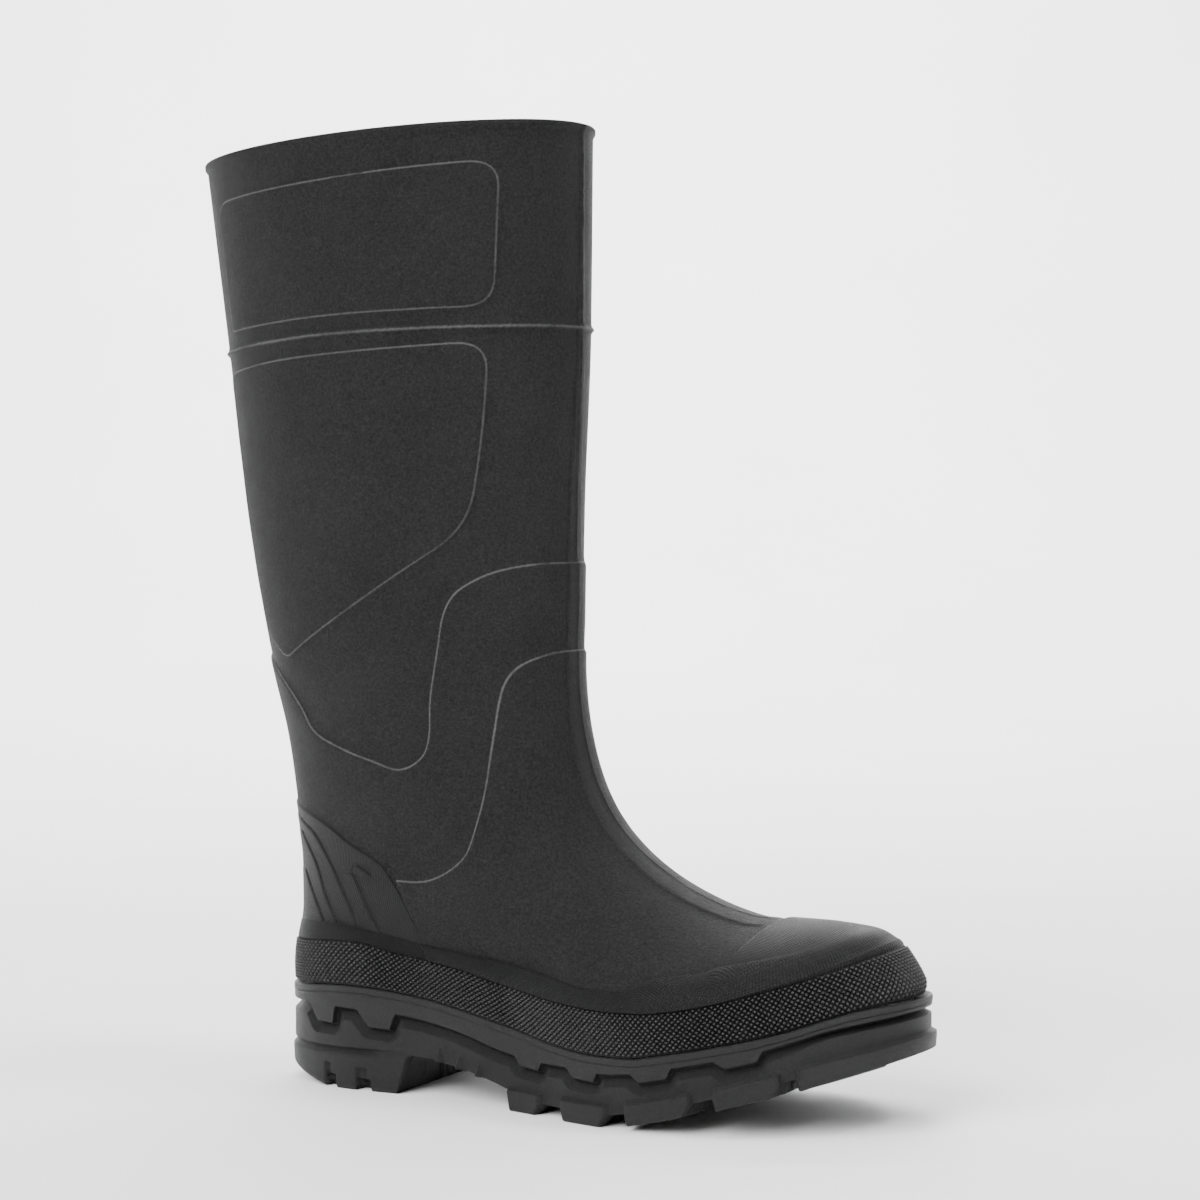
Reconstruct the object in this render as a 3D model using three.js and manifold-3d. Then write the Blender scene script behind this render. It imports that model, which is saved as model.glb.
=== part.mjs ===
// Knee-high moulded work boot with a steel toe, right foot, standing on its sole.
// Millimetres. +X runs to the toe, +Y to the inner side of the foot, +Z up.
import * as THREE from 'three';
import { mergeVertices } from 'three/addons/utils/BufferGeometryUtils.js';
import Module from 'manifold-3d';

const wasm = await Module();
wasm.setup();

// Main sizes
const SOLE_HALF_LENGTH = 146;
const GAP = 0.3;
const LEG_WALL = 3.0;
const FOOT_WALL = 5.3;
const LINING_THICKNESS = 1.3;
const LINING_GAP = 0.4;
const COLLAR_HEIGHT = 4.2;
const COLLAR_PROUD = 0.9;
const RAND_THICKNESS = 2.5;
const OVERLAY_THICKNESS = 1.2;
const RIB_PROUD = 1.3;
const RIB_HALF_HEIGHT = 1.2;

// Ankle joint between the leg and the foot of the shell
const ANKLE = { x: -74, z: 105, radius: 80, gap: 0.6, floor: 130 };

// Sole stack
const LUG_HEIGHT = 9.5;
const CHANNEL_HEIGHT = 3.5;
const CHANNEL_DEPTH = 2.7;
const LIP_HEIGHT = 4;
const MIDSOLE_FLOOR = 4.5;
const BOARD_THICKNESS = 2;
const FOAM_THICKNESS = 4;
const COVER_THICKNESS = 0.8;
const FOOTBED_INSET = FOOT_WALL + LINING_GAP + LINING_THICKNESS + 1.5;
const FOOTBED_FRONT = 122;

// Steel parts
const CAP_BACK = 71.3;
const CAP_OUTER = 3.0;
const CAP_THICKNESS = 2.0;
const CAP_FLANGE = 9;
const EDGE_STRIP_LENGTH = 5.5;
const SHANK = { back: -112, front: 4, halfWidth: 9, thickness: 1.5 };
const HEEL_CORE = { back: -124, front: -86, halfWidth: 17, bottom: 9 };

// Smooth curve through [x, value] points that never overshoots them.
function smoothCurve(points) {
  const last = points.length - 1;
  const rise = (i) => (points[i + 1][1] - points[i][1]) / (points[i + 1][0] - points[i][0]);
  const slopes = points.map((point, i) => {
    if (i === 0) return rise(0);
    if (i === last) return rise(last - 1);
    const before = rise(i - 1);
    const after = rise(i);
    return before * after <= 0 ? 0 : (2 * before * after) / (before + after);
  });
  return (x) => {
    if (x <= points[0][0]) return points[0][1] + slopes[0] * (x - points[0][0]);
    if (x >= points[last][0]) return points[last][1] + slopes[last] * (x - points[last][0]);
    let i = 0;
    while (points[i + 1][0] < x) i += 1;
    const width = points[i + 1][0] - points[i][0];
    const t = (x - points[i][0]) / width;
    const t2 = t * t;
    const t3 = t2 * t;
    return (2 * t3 - 3 * t2 + 1) * points[i][1] + (t3 - 2 * t2 + t) * width * slopes[i]
      + (3 * t2 - 2 * t3) * points[i + 1][1] + (t3 - t2) * width * slopes[i + 1];
  };
}

const mix = (a, b, t) => a + (b - a) * t;
const ease = THREE.MathUtils.smoothstep;

// Plan of the sole: half-breadth = outlineFullness(c) * sqrt(1 - c^2), c from heel -1 to toe 1.
const outlineFullness = smoothCurve([[-1, 73], [-0.925, 68], [-0.75, 56], [-0.41, 39.8], [-0.14, 40.2],
  [0.14, 49.8], [0.34, 57.5], [0.58, 63.3], [0.79, 67.4], [1, 71]]);
const soleHalf = (c) => outlineFullness(c) * Math.sqrt(Math.max(0, 1 - c * c));
const soleCentre = smoothCurve([[-146, 0], [-110, 0], [-60, -1.8], [-20, -3.3], [20, -3.7], [50, -2],
  [85, 1.5], [115, 5.5], [135, 8.5], [146, 10]]);

// Side lines of the foot, height over x.
const randLow = smoothCurve([[-146, 40.5], [-97, 44.4], [-61, 41.4], [-43, 38.8], [-25, 35.4], [5, 29.8],
  [24, 28.2], [40, 28.4], [56, 31], [84, 36.7], [104, 41.6], [119, 46.5], [131, 49.7], [142, 51]]);
const randHigh = smoothCurve([[-146, 60], [-97, 63.7], [-75, 60], [-43, 56.4], [-25, 52.7], [10, 48.4],
  [32, 47.3], [46, 47.4], [60, 49], [77, 52.6], [95, 57.8], [108, 61.7], [120, 66], [130, 70]]);
const borderHigh = smoothCurve([[-142, 67], [-107, 70], [-82, 68], [-61, 65], [-38, 62], [-14, 59],
  [7, 56], [23, 54], [38, 53.8], [44, 56], [52, 59], [60, 60], [71, 61], [80, 63.6]]);
const borderFlow = smoothCurve([[-142, 67], [-107, 70], [-82, 68], [-61, 65], [-38, 62], [-14, 59],
  [7, 57], [30, 56], [50, 57.5], [80, 63.6], [100, 68], [115, 72], [122, 74.5]]);

// Front and back profile of the boot in the plane of symmetry.
const ridgeHeight = smoothCurve([[-11, 260], [-10, 200], [-9, 165], [-6, 143], [0, 124], [9, 110], [22, 99],
  [38, 89.5], [55, 82], [75, 77.8], [95, 77.5], [112, 76.8], [122, 74.5], [129, 70], [134, 62], [139, 48]]);
const shaftBack = smoothCurve([[42, -141], [60, -140], [76, -138], [96, -137.5], [106, -138.5],
  [126, -142], [149, -147], [178, -155], [200, -160], [245, -168], [311, -176], [394, -187], [420, -190.4]]);
const shaftFront = smoothCurve([[40, 140], [60, 130], [74, 118], [78, 72], [82, 55], [89.5, 38], [99, 22],
  [110, 9], [124, 0], [143, -6], [165, -9], [190, -11], [245, -10.5], [320, -8], [406, -7.5]]);
const shaftMiddle = smoothCurve([[40, -75], [110, -75], [133, -74], [187, -85], [250, -90], [311, -92],
  [400, -97.5]]);
const shaftHalf = smoothCurve([[40, 35], [60, 35.3], [90, 38.5], [110, 41.5], [133, 44], [187, 46.5],
  [250, 51], [311, 55], [394, 59.5], [420, 61]]);

// Levels of the upper: rings that start round the sole and climb to the topline.
const LEVELS = [
  { back: [-141, 42], front: [139, 48], dip: 0 },
  { back: [-140, 60], front: [129, 70], dip: 0 },
  { back: [-139, 67], front: [122, 74.5], dip: 0 },
  { back: [-138, 76], front: [112, 76.8], dip: 14 },
  { back: [-137.5, 86], front: [95, 77.5], dip: 10 },
  { back: [-137.5, 96], front: [75, 77.8], dip: 6 },
  { back: [-138.5, 106], front: [55, 82], dip: 3 },
  { back: [-140, 116], front: [38, 89.5], dip: 1 },
  { back: [-142, 126], front: [22, 99], dip: 0 },
  { back: [-144, 137], front: [9, 110], dip: 0 },
  { back: [-147, 149], front: [0, 124], dip: 0 },
  { back: [-151, 163], front: [-6, 143], dip: 0 },
  { back: [-155, 178], front: [-9, 165], dip: 0 },
  { back: [-160, 200], front: [-11, 190], dip: 0 },
  { back: [-168, 245], front: [-10.5, 245], dip: 0 },
  { back: [-176, 311], front: [-8, 320], dip: 0 },
  { back: [-187, 394], front: [-7.5, 406], dip: 0 },
  { back: [-188.7, 407], front: [-7.4, 419.5], dip: 0 },
];
const levelCurve = (pick) => smoothCurve(LEVELS.map((level, i) => [i, pick(level)]));
const backX = levelCurve((level) => level.back[0]);
const backZ = levelCurve((level) => level.back[1]);
const frontX = levelCurve((level) => level.front[0]);
const frontZ = levelCurve((level) => level.front[1]);
const dipDepth = levelCurve((level) => level.dip);
const TOP_LEVEL = LEVELS.length - 1;

// Height of a ring at x: it follows the moulded side lines low down and is a plane higher up.
function ringHeight(level, x) {
  const s = THREE.MathUtils.clamp((x - backX(level)) / (frontX(level) - backX(level)), 0, 1);
  const dip = (dipDepth(level) * s ** 2.1 * (1 - s)) / 0.1424;
  const free = (at) => mix(backZ(at), frontZ(at), s) - dip;
  if (level <= 1) return mix(randLow(x), randHigh(x), level);
  if (level <= 2) return mix(randHigh(x), borderFlow(x), level - 1);
  if (level <= 3) return mix(borderFlow(x), free(3), level - 2);
  return free(level);
}

// Half-breadth of the upper at a side-view point, from the forefoot sections and the shaft slices.
function upperHalf(x, z) {
  const base = 0.945 * soleHalf((x + 5.5) / 134.5);
  const low = randHigh(x);
  const t = THREE.MathUtils.clamp((z - low) / (ridgeHeight(x) - low), 0, 1);
  const foot = base * (1 - t ** 1.6) ** (1 / 1.8);
  const power = mix(2.35, 2, ease(z, 90, 160));
  const middle = shaftMiddle(z);
  const end = x < middle ? shaftBack(z) : shaftFront(z);
  const c = THREE.MathUtils.clamp((x - middle) / (end - middle), 0, 1);
  const shaft = shaftHalf(z) * (1 - c ** power) ** (1 / power);
  const share = ease(x, -45, 20) * (1 - ease(z, 100, 135));
  return mix(shaft, foot, share);
}

// Point of the upper's outer surface; angle 0 is the front, 90 degrees the inner side.
function upperPoint(level, angle) {
  const c = Math.cos(angle);
  const middle = (backX(level) + frontX(level)) / 2;
  const x = middle + ((frontX(level) - backX(level)) / 2) * c;
  const z = ringHeight(level, x);
  const plan = 0.948 * soleHalf(c);
  const half = mix(plan, upperHalf(x, z), ease(level, 1, 2.4));
  const y = soleCentre(x) * (1 - ease(z, 70, 105)) + half * Math.sign(Math.sin(angle));
  return new THREE.Vector3(x, y, z);
}

// Closed solid through rings of points, ordered from the bottom to the top.
function loft(rings) {
  const count = rings[0].length;
  const positions = [];
  const push = (...points) => points.forEach((point) => positions.push(point.x, point.y, point.z));
  const centre = (ring) => ring.reduce((sum, point) => sum.add(point), new THREE.Vector3()).divideScalar(count);
  for (let i = 0; i < rings.length - 1; i += 1) {
    for (let j = 0; j < count; j += 1) {
      const k = (j + 1) % count;
      push(rings[i][j], rings[i][k], rings[i + 1][k]);
      push(rings[i][j], rings[i + 1][k], rings[i + 1][j]);
    }
  }
  const bottom = rings[0];
  const top = rings[rings.length - 1];
  const bottomCentre = centre(bottom);
  const topCentre = centre(top);
  for (let j = 0; j < count; j += 1) {
    const k = (j + 1) % count;
    push(bottomCentre, bottom[k], bottom[j]);
    push(topCentre, top[j], top[k]);
  }
  const geometry = new THREE.BufferGeometry();
  geometry.setAttribute('position', new THREE.Float32BufferAttribute(positions, 3));
  return geometry;
}

// Solid from a closed geometry.
function solidOf(geometry) {
  const bare = geometry.clone();
  bare.deleteAttribute('normal');
  bare.deleteAttribute('uv');
  const welded = mergeVertices(bare, 1e-4);
  return new wasm.Manifold(new wasm.Mesh({
    numProp: 3,
    vertProperties: new Float32Array(welded.attributes.position.array),
    triVerts: new Uint32Array(welded.index.array),
  }));
}

const SHELL_LEVELS = [0, 1, 2, 3, 4, 5, 6, 7.5, 9, 10.5, 12, 13.5, 15, 16, TOP_LEVEL];
const TOE_LEVELS = SHELL_LEVELS.slice(0, 8);
const SEGMENTS = 32;

// The space inside the upper's outer surface moved in by a depth that may vary with the level.
function tub(depthAt, levels = SHELL_LEVELS, segments = SEGMENTS) {
  const points = levels.map((level) => {
    const ring = [];
    for (let j = 0; j < segments; j += 1) ring.push(upperPoint(level, (2 * Math.PI * j) / segments));
    return ring;
  });
  const moved = points.map((ring, i) => ring.map((point, j) => {
    const along = points[i][(j + 1) % segments].clone().sub(points[i][(j + segments - 1) % segments]);
    const up = points[Math.min(i + 1, levels.length - 1)][j].clone().sub(points[Math.max(i - 1, 0)][j]);
    const normal = along.cross(up).normalize();
    return point.clone().addScaledVector(normal, -depthAt(levels[i]));
  }));
  const foot = moved[0].map((point) => new THREE.Vector3(point.x, point.y, -20));
  return solidOf(loft([foot, ...moved]));
}

const wallAt = (level) => mix(FOOT_WALL, LEG_WALL, ease(level, 8, 12));

// Block seen from the side: an outline of [x, z] points carried right across the boot.
function sideBlock(outline, halfWidth = 100) {
  const shape = new THREE.Shape(outline.map(([x, z]) => new THREE.Vector2(x, z)));
  const geometry = new THREE.ExtrudeGeometry(shape, { depth: 2 * halfWidth, bevelEnabled: false });
  geometry.rotateX(Math.PI / 2);
  geometry.translate(0, halfWidth, 0);
  return solidOf(geometry);
}

// Column seen from above: an outline of [x, y] points from height low to height high.
function planBlock(outline, low, high) {
  const shape = new THREE.Shape(outline.map(([x, y]) => new THREE.Vector2(x, y)));
  const geometry = new THREE.ExtrudeGeometry(shape, { depth: high - low, bevelEnabled: false });
  geometry.translate(0, 0, low);
  return solidOf(geometry);
}

// Points of a height line over x between two ends, as few as keep within LINE_TOLERANCE of it.
const LINE_TOLERANCE = 0.12;
const LINE_STEP = 2;
function linePoints(height, from, to) {
  const start = Math.min(from, to);
  const count = Math.max(1, Math.ceil(Math.abs(to - from) / LINE_STEP));
  const all = [];
  for (let i = 0; i <= count; i += 1) {
    const x = mix(start, Math.max(from, to), i / count);
    all.push([x, height(x)]);
  }
  const strays = (a, b) => all.slice(a + 1, b).some(([x, z]) => {
    const t = (x - all[a][0]) / (all[b][0] - all[a][0]);
    return Math.abs(mix(all[a][1], all[b][1], t) - z) > LINE_TOLERANCE;
  });
  const kept = [all[0]];
  let anchor = 0;
  for (let i = 2; i <= count; i += 1) {
    if (strays(anchor, i)) {
      anchor = i - 1;
      kept.push(all[anchor]);
    }
  }
  kept.push(all[count]);
  return from < to ? kept : kept.reverse();
}

// Block between two height lines.
function between(low, high, from = -215, to = 165) {
  return sideBlock([...linePoints(low, from, to), ...linePoints(high, to, from)]);
}
const flat = (z) => () => z;
const raised = (height, by) => (x) => height(x) + by;

// Plan outline moved in by an inset; pointAt gives the outline's point at an angle.
function insetOutline(pointAt, inset, segments) {
  const points = [];
  for (let j = 0; j < segments; j += 1) points.push(pointAt((2 * Math.PI * j) / segments));
  return points.map((point, j) => {
    const next = points[(j + 1) % segments];
    const last = points[(j + segments - 1) % segments];
    const length = Math.hypot(next.x - last.x, next.y - last.y);
    return [point.x - ((next.y - last.y) / length) * inset, point.y + ((next.x - last.x) / length) * inset];
  });
}

function solePoint(angle) {
  const x = SOLE_HALF_LENGTH * Math.cos(angle);
  return { x, y: soleCentre(x) + soleHalf(Math.cos(angle)) * Math.sign(Math.sin(angle)) };
}

// Outline of the sole, and outline of the upper where it meets the sole.
const soleOutline = (inset) => insetOutline(solePoint, inset, 48);
const upperOutline = (inset) => insetOutline((angle) => upperPoint(0, angle), inset, SEGMENTS);

// Inner and outer limit lines of the sole layers.
const tread = (x) => (x > 30 ? 30 * ((x - 30) / 115) ** 1.2 : 0);
const archRoot = smoothCurve([[-78, 18.5], [-66, 20], [-54, 20.3], [-43, 17.8], [-32, 14.6], [-20, 11.4],
  [-8, 9.8], [10, 9.5]]);
const lugRoot = (x) => (x < 10 ? archRoot(x) : tread(x) + LUG_HEIGHT);
const outsoleTop = smoothCurve([[-150, 22.5], [-80, 23], [-62, 24], [-43, 21.8], [-32, 18.8], [-20, 15.8],
  [-5, 14.2], [20, 14], [35, 15], [53, 17.4], [70, 20.4], [85, 24], [100, 28.8], [120, 35.5], [150, 42]]);
const midsoleFloor = raised(outsoleTop, MIDSOLE_FLOOR);
const boardTop = raised(midsoleFloor, GAP + BOARD_THICKNESS);
const sockTop = raised(boardTop, GAP + LINING_THICKNESS);
const foamTop = raised(sockTop, GAP + FOAM_THICKNESS);
const wallFoot = smoothCurve([[-146, 34], [-75, 33.5], [-66, 33], [-43, 29], [-16, 24], [10, 21.7],
  [22, 21.5], [38, 22.3], [53, 24.5], [70, 27.2], [85, 30.5], [95, 33.6], [108, 38.6], [119, 42.2],
  [142, 46.6]]);

// Teeth that hang from the midsole wall: rear edge, front edge, depth.
const TEETH = [[-116, -109, 7], [-91, -81, 6.8], [-13.5, -3, 4], [16.5, 28, 3.5], [48, 59.5, 3],
  [79, 90, 3.4]];
const TOOTH_REAR_SLOPE = 4.5;
const TOOTH_FRONT_SLOPE = 1.5;

// The toothed edge over the channel, from the heel to the toe.
function toothedEdge(lowered) {
  const points = [];
  let from = -160;
  TEETH.forEach(([rear, front, depth]) => {
    points.push(...linePoints(wallFoot, from, rear - TOOTH_REAR_SLOPE));
    points.push([rear, wallFoot(rear) - depth], [front, wallFoot(front) - depth]);
    from = front + TOOTH_FRONT_SLOPE;
  });
  points.push(...linePoints(wallFoot, from, 160));
  return points.map(([x, z]) => [x, z - lowered]);
}

// Plan of the lugs on one side of the tread; side is -1 outside the foot, 1 inside.
const EDGE_LUGS = [[-20, -1], [10, 35], [42, 68], [75, 97.5], [104.5, 160]];
const LUG_INNER_EDGE = 21;
const LUG_SKEW = 5;

function edgeLug([rear, front], side) {
  const inner = soleCentre((rear + Math.min(front, 130)) / 2) + side * LUG_INNER_EDGE;
  return planBlock(side > 0
    ? [[rear, 95], [rear, inner + 10], [rear + LUG_SKEW, inner], [front, inner], [front, 95]]
    : [[rear, -95], [front, -95], [front, inner], [rear + LUG_SKEW, inner], [rear, inner - 10]], -10, 60);
}

function centreLug(rear, front, halfWidth) {
  const y = soleCentre((rear + front) / 2);
  return planBlock([[rear, y - halfWidth], [front, y - halfWidth], [front + 5, y], [front, y + halfWidth],
    [rear, y + halfWidth], [rear + 5, y]], -10, 60);
}

function makeOutsole() {
  const edge = toothedEdge(CHANNEL_HEIGHT);
  const base = planBlock(soleOutline(2), -10, 60)
    .intersect(sideBlock([...linePoints(lugRoot, -150, 150), ...edge.reverse()]));
  const lugArea = planBlock(soleOutline(0.8), -10, 60)
    .intersect(between(tread, raised(lugRoot, 0.6), -22, 150));
  let lugs = edgeLug(EDGE_LUGS[0], -1);
  EDGE_LUGS.forEach((range) => {
    lugs = lugs.add(edgeLug(range, -1)).add(edgeLug(range, 1));
  });
  [[-8, 6], [14, 28], [36, 50], [58, 72], [80, 94], [102, 116]].forEach(([rear, front]) => {
    lugs = lugs.add(centreLug(rear, front, 15));
  });
  let outsole = base.add(lugArea.intersect(lugs));
  outsole = outsole.add(makeHeelBlock()).add(makeArchRibs());
  const well = planBlock(soleOutline(2 + CHANNEL_DEPTH - GAP), -10, 70)
    .intersect(between(outsoleTop, flat(70), -160, 160));
  const core = planBlock(rectangle(HEEL_CORE.back - GAP, HEEL_CORE.front + GAP, HEEL_CORE.halfWidth + GAP),
    HEEL_CORE.bottom - GAP, 40);
  return outsole.subtract(well).subtract(core);
}

function rectangle(back, front, halfWidth, middle = 0) {
  return [[back, middle - halfWidth], [front, middle - halfWidth], [front, middle + halfWidth],
    [back, middle + halfWidth]];
}

// Heel block with a leaning breast, notched sides and cross grooves underneath.
function makeHeelBlock() {
  const profile = [[-160, 0], [-75, 0], [-73, 6], [-78, 17], [-78, 20], [-160, 20]];
  let block = planBlock(soleOutline(0.4), -10, 60).intersect(sideBlock(profile));
  const ledge = planBlock(soleOutline(-0.4), 14.5, 18).intersect(sideBlock([[-160, 10], [-78, 10], [-78, 20],
    [-160, 20]]));
  block = block.add(ledge);
  [[-108.5, -103, 8], [-96, -89, 9]].forEach(([rear, front, height]) => {
    [-1, 1].forEach((side) => {
      block = block.subtract(planBlock(rectangle(rear, front, 14, side * 46), -5, height));
    });
  });
  [-128, -112, -96.5].forEach((x) => {
    block = block.subtract(planBlock(rectangle(x, x + 5, 24), -5, 5));
  });
  return block.subtract(planBlock(rectangle(-136, -84, 2), -5, 5));
}

// Three small ribs across the arch.
function makeArchRibs() {
  const across = planBlock(soleOutline(4), -10, 60);
  const ribs = [[-54, 17], [-43, 14], [-32, 11]].map(([x, tip]) => {
    const root = archRoot(x) + 1;
    return sideBlock([[x - 3, root], [x + 0.5, tip], [x + 3.5, root]]);
  });
  return ribs[0].add(ribs[1]).add(ribs[2]).intersect(across);
}

// Cup-shaped midsole: lip, wall with hanging teeth, recessed wall of the channel and a floor.
function makeMidsole() {
  const lip = planBlock(soleOutline(0), -10, 90)
    .intersect(between(raised(randLow, -LIP_HEIGHT), randLow, -160, 160));
  const wall = planBlock(soleOutline(1.6), -10, 90)
    .intersect(sideBlock([...toothedEdge(0), ...linePoints(raised(randLow, -1), 160, -160)]));
  const core = planBlock(soleOutline(2 + CHANNEL_DEPTH), -10, 90)
    .intersect(between(raised(outsoleTop, GAP), raised(randLow, -1), -160, 160));
  const room = tub(flat(FOOT_WALL), [0, 1, 2]).intersect(between(midsoleFloor, flat(90), -160, 160));
  const shankBed = planBlock(rectangle(SHANK.back - GAP, SHANK.front + GAP, SHANK.halfWidth + GAP), 0, 60)
    .intersect(between(raised(midsoleFloor, -SHANK.thickness - 2 * GAP), flat(60), -160, 160));
  return lip.add(wall).add(core).subtract(room).subtract(shankBed).subtract(capRoom);
}

const outer = tub(flat(0));
const inner = tub(wallAt);
const topline = (x) => mix(394, 406, (x + 187) / 179.5);
const capRoom = tub(flat(CAP_OUTER - GAP), TOE_LEVELS)
  .intersect(between(midsoleFloor, flat(90), CAP_BACK - EDGE_STRIP_LENGTH - 2 * GAP, 165));

// The moulded shell between the sole and the collar, before it is parted at the ankle.
const shell = outer.subtract(inner)
  .intersect(between(raised(randLow, GAP), raised(topline, -COLLAR_HEIGHT - GAP), -215, 165));
const aboveAnkle = sideBlock([[-230, ANKLE.floor], [170, ANKLE.floor], [170, 450], [-230, 450]]);

function ankleDrum(radius) {
  const geometry = new THREE.CylinderGeometry(radius, radius, 220, 96);
  geometry.translate(ANKLE.x, 0, ANKLE.z);
  return solidOf(geometry);
}
const footSide = aboveAnkle.subtract(ankleDrum(ANKLE.radius));
const legSide = aboveAnkle.subtract(ankleDrum(ANKLE.radius + ANKLE.gap));

const makeUpperLeg = () => shell.intersect(legSide);
const makeUpperFoot = () => shell.subtract(footSide).subtract(capRoom);

const sockOuter = tub((level) => wallAt(level) + LINING_GAP);
const sockInner = tub((level) => wallAt(level) + LINING_GAP + LINING_THICKNESS);
const sock = sockOuter.intersect(between(raised(boardTop, GAP), raised(topline, -COLLAR_HEIGHT - 2), -215, 165))
  .subtract(sockInner.intersect(between(sockTop, flat(440), -215, 165)));
const makeLiningLeg = () => sock.intersect(legSide);
const makeLiningFoot = () => sock.subtract(footSide);

// Thin skin lying on the upper inside a side-view outline.
function overlay(outline, proud) {
  return tub(flat(-proud)).subtract(tub(flat(-GAP)))
    .intersect(sideBlock(outline));
}

function makeCollarBead() {
  return tub(flat(-COLLAR_PROUD)).subtract(inner)
    .intersect(between(raised(topline, -COLLAR_HEIGHT), topline, -215, 20));
}

function makeCuffRib() {
  const line = smoothCurve([[-180, 312.4], [-92, 319], [-7, 322]]);
  return overlay([...linePoints(raised(line, -RIB_HALF_HEIGHT), -215, 20),
    ...linePoints(raised(line, RIB_HALF_HEIGHT), 20, -215)], RIB_PROUD);
}

function makeRandBand() {
  return tub(flat(-RAND_THICKNESS)).subtract(tub(flat(-GAP)))
    .intersect(between(raised(randLow, GAP), randHigh, -160, 165));
}

function makeToeGuard() {
  const top = [[160, 100], [79, 100], ...linePoints(borderHigh, 80, -160)];
  return overlay([...linePoints(raised(randHigh, GAP), -160, 160), ...top], OVERLAY_THICKNESS);
}

function makeHeelCounter() {
  const line = [[-160, 127], [-143, 123], [-113.5, 115], [-96, 106], [-82, 99], [-76, 93], [-73, 88],
    [-68, 79], [-61, 66.5]];
  return overlay([...linePoints(raised(borderHigh, GAP), -160, -62), ...line.reverse()], OVERLAY_THICKNESS);
}

const makeInsoleBoard = () => planBlock(upperOutline(FOOT_WALL + GAP), -10, 90)
  .intersect(between(raised(midsoleFloor, GAP), boardTop, -130, CAP_BACK - EDGE_STRIP_LENGTH - 4));

const makeShank = () => planBlock(rectangle(SHANK.back, SHANK.front, SHANK.halfWidth), 0, 60)
  .intersect(between(raised(midsoleFloor, -SHANK.thickness - GAP), raised(midsoleFloor, -GAP), -160, 160));

const makeHeelCore = () => planBlock(rectangle(HEEL_CORE.back, HEEL_CORE.front, HEEL_CORE.halfWidth),
  HEEL_CORE.bottom, 60).intersect(between(flat(0), outsoleTop, -160, 0));

// Steel cap over the toes with an inward flange along its bottom edge.
function makeToeCap() {
  const zone = between(raised(midsoleFloor, GAP), flat(90), CAP_BACK, 165);
  const body = tub(flat(CAP_OUTER), TOE_LEVELS).intersect(zone);
  const hollow = tub(flat(CAP_OUTER + CAP_THICKNESS), TOE_LEVELS)
    .intersect(between(raised(midsoleFloor, GAP + CAP_THICKNESS), flat(90), CAP_BACK - 5, 165));
  const floorCut = planBlock(upperOutline(CAP_OUTER + CAP_THICKNESS + CAP_FLANGE), -10, 50)
    .intersect(between(flat(-5), raised(midsoleFloor, GAP + CAP_THICKNESS + 1), CAP_BACK - 5, 165));
  return body.subtract(hollow).subtract(floorCut);
}

function makeEdgeStrip() {
  const front = CAP_BACK - GAP;
  return tub(flat(CAP_OUTER + 0.2), TOE_LEVELS)
    .subtract(tub(flat(CAP_OUTER + CAP_THICKNESS), TOE_LEVELS))
    .intersect(between(raised(midsoleFloor, GAP), flat(90), front - EDGE_STRIP_LENGTH, front));
}

const footbedPlan = planBlock(upperOutline(FOOTBED_INSET), -10, 90);
const makeFootbedFoam = () => footbedPlan
  .intersect(between(raised(sockTop, GAP), foamTop, -160, FOOTBED_FRONT));
const makeFootbedCover = () => footbedPlan
  .intersect(between(raised(foamTop, GAP), raised(foamTop, GAP + COVER_THICKNESS), -160, FOOTBED_FRONT));

// Materials
const rubber = (color, roughness) => new THREE.MeshStandardMaterial({ color, roughness, metalness: 0 });
const steel = (color, roughness) => new THREE.MeshStandardMaterial({ color, roughness, metalness: 1 });
const cloth = (color) => new THREE.MeshStandardMaterial({ color, roughness: 0.95, metalness: 0 });

const boot = new THREE.Group();

function addPart(name, solid, material) {
  const shape = solid.getMesh();
  const geometry = new THREE.BufferGeometry();
  geometry.setAttribute('position', new THREE.BufferAttribute(new Float32Array(shape.vertProperties), 3));
  geometry.setIndex(new THREE.BufferAttribute(new Uint32Array(shape.triVerts), 1));
  geometry.computeVertexNormals();
  const mesh = new THREE.Mesh(geometry, material);
  mesh.name = name;
  boot.add(mesh);
}

addPart('upper_leg', makeUpperLeg(), rubber(0x2d2e30, 0.52));
addPart('upper_foot', makeUpperFoot(), rubber(0x2d2e30, 0.5));
addPart('collar_bead', makeCollarBead(), rubber(0x2d2e30, 0.52));
addPart('cuff_rib', makeCuffRib(), rubber(0x2d2e30, 0.5));
addPart('toe_guard', makeToeGuard(), rubber(0x2a2b2d, 0.55));
addPart('heel_counter', makeHeelCounter(), rubber(0x2a2b2d, 0.55));
addPart('rand_band', makeRandBand(), rubber(0x28292b, 0.5));
addPart('midsole', makeMidsole(), rubber(0x2a2b2d, 0.5));
addPart('outsole', makeOutsole(), rubber(0x28292b, 0.55));
addPart('heel_core', makeHeelCore(), rubber(0x6b6358, 0.85));
addPart('steel_shank', makeShank(), steel(0x9a9c9e, 0.35));
addPart('steel_toe_cap', makeToeCap(), steel(0x8f9194, 0.4));
addPart('toe_cap_edge_strip', makeEdgeStrip(), rubber(0x3a3a3c, 0.7));
addPart('insole_board', makeInsoleBoard(), cloth(0x8a7a63));
addPart('lining_leg', makeLiningLeg(), cloth(0x55585c));
addPart('lining_foot', makeLiningFoot(), cloth(0x55585c));
addPart('footbed_foam', makeFootbedFoam(), cloth(0x3c3f44));
addPart('footbed_cover', makeFootbedCover(), cloth(0x2c2e31));

// The origin is the middle of the boot's footprint, on the ground.
const box = new THREE.Box3().setFromObject(boot);
boot.position.set(-(box.min.x + box.max.x) / 2, -(box.min.y + box.max.y) / 2, -box.min.z);

export default boot;
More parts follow.
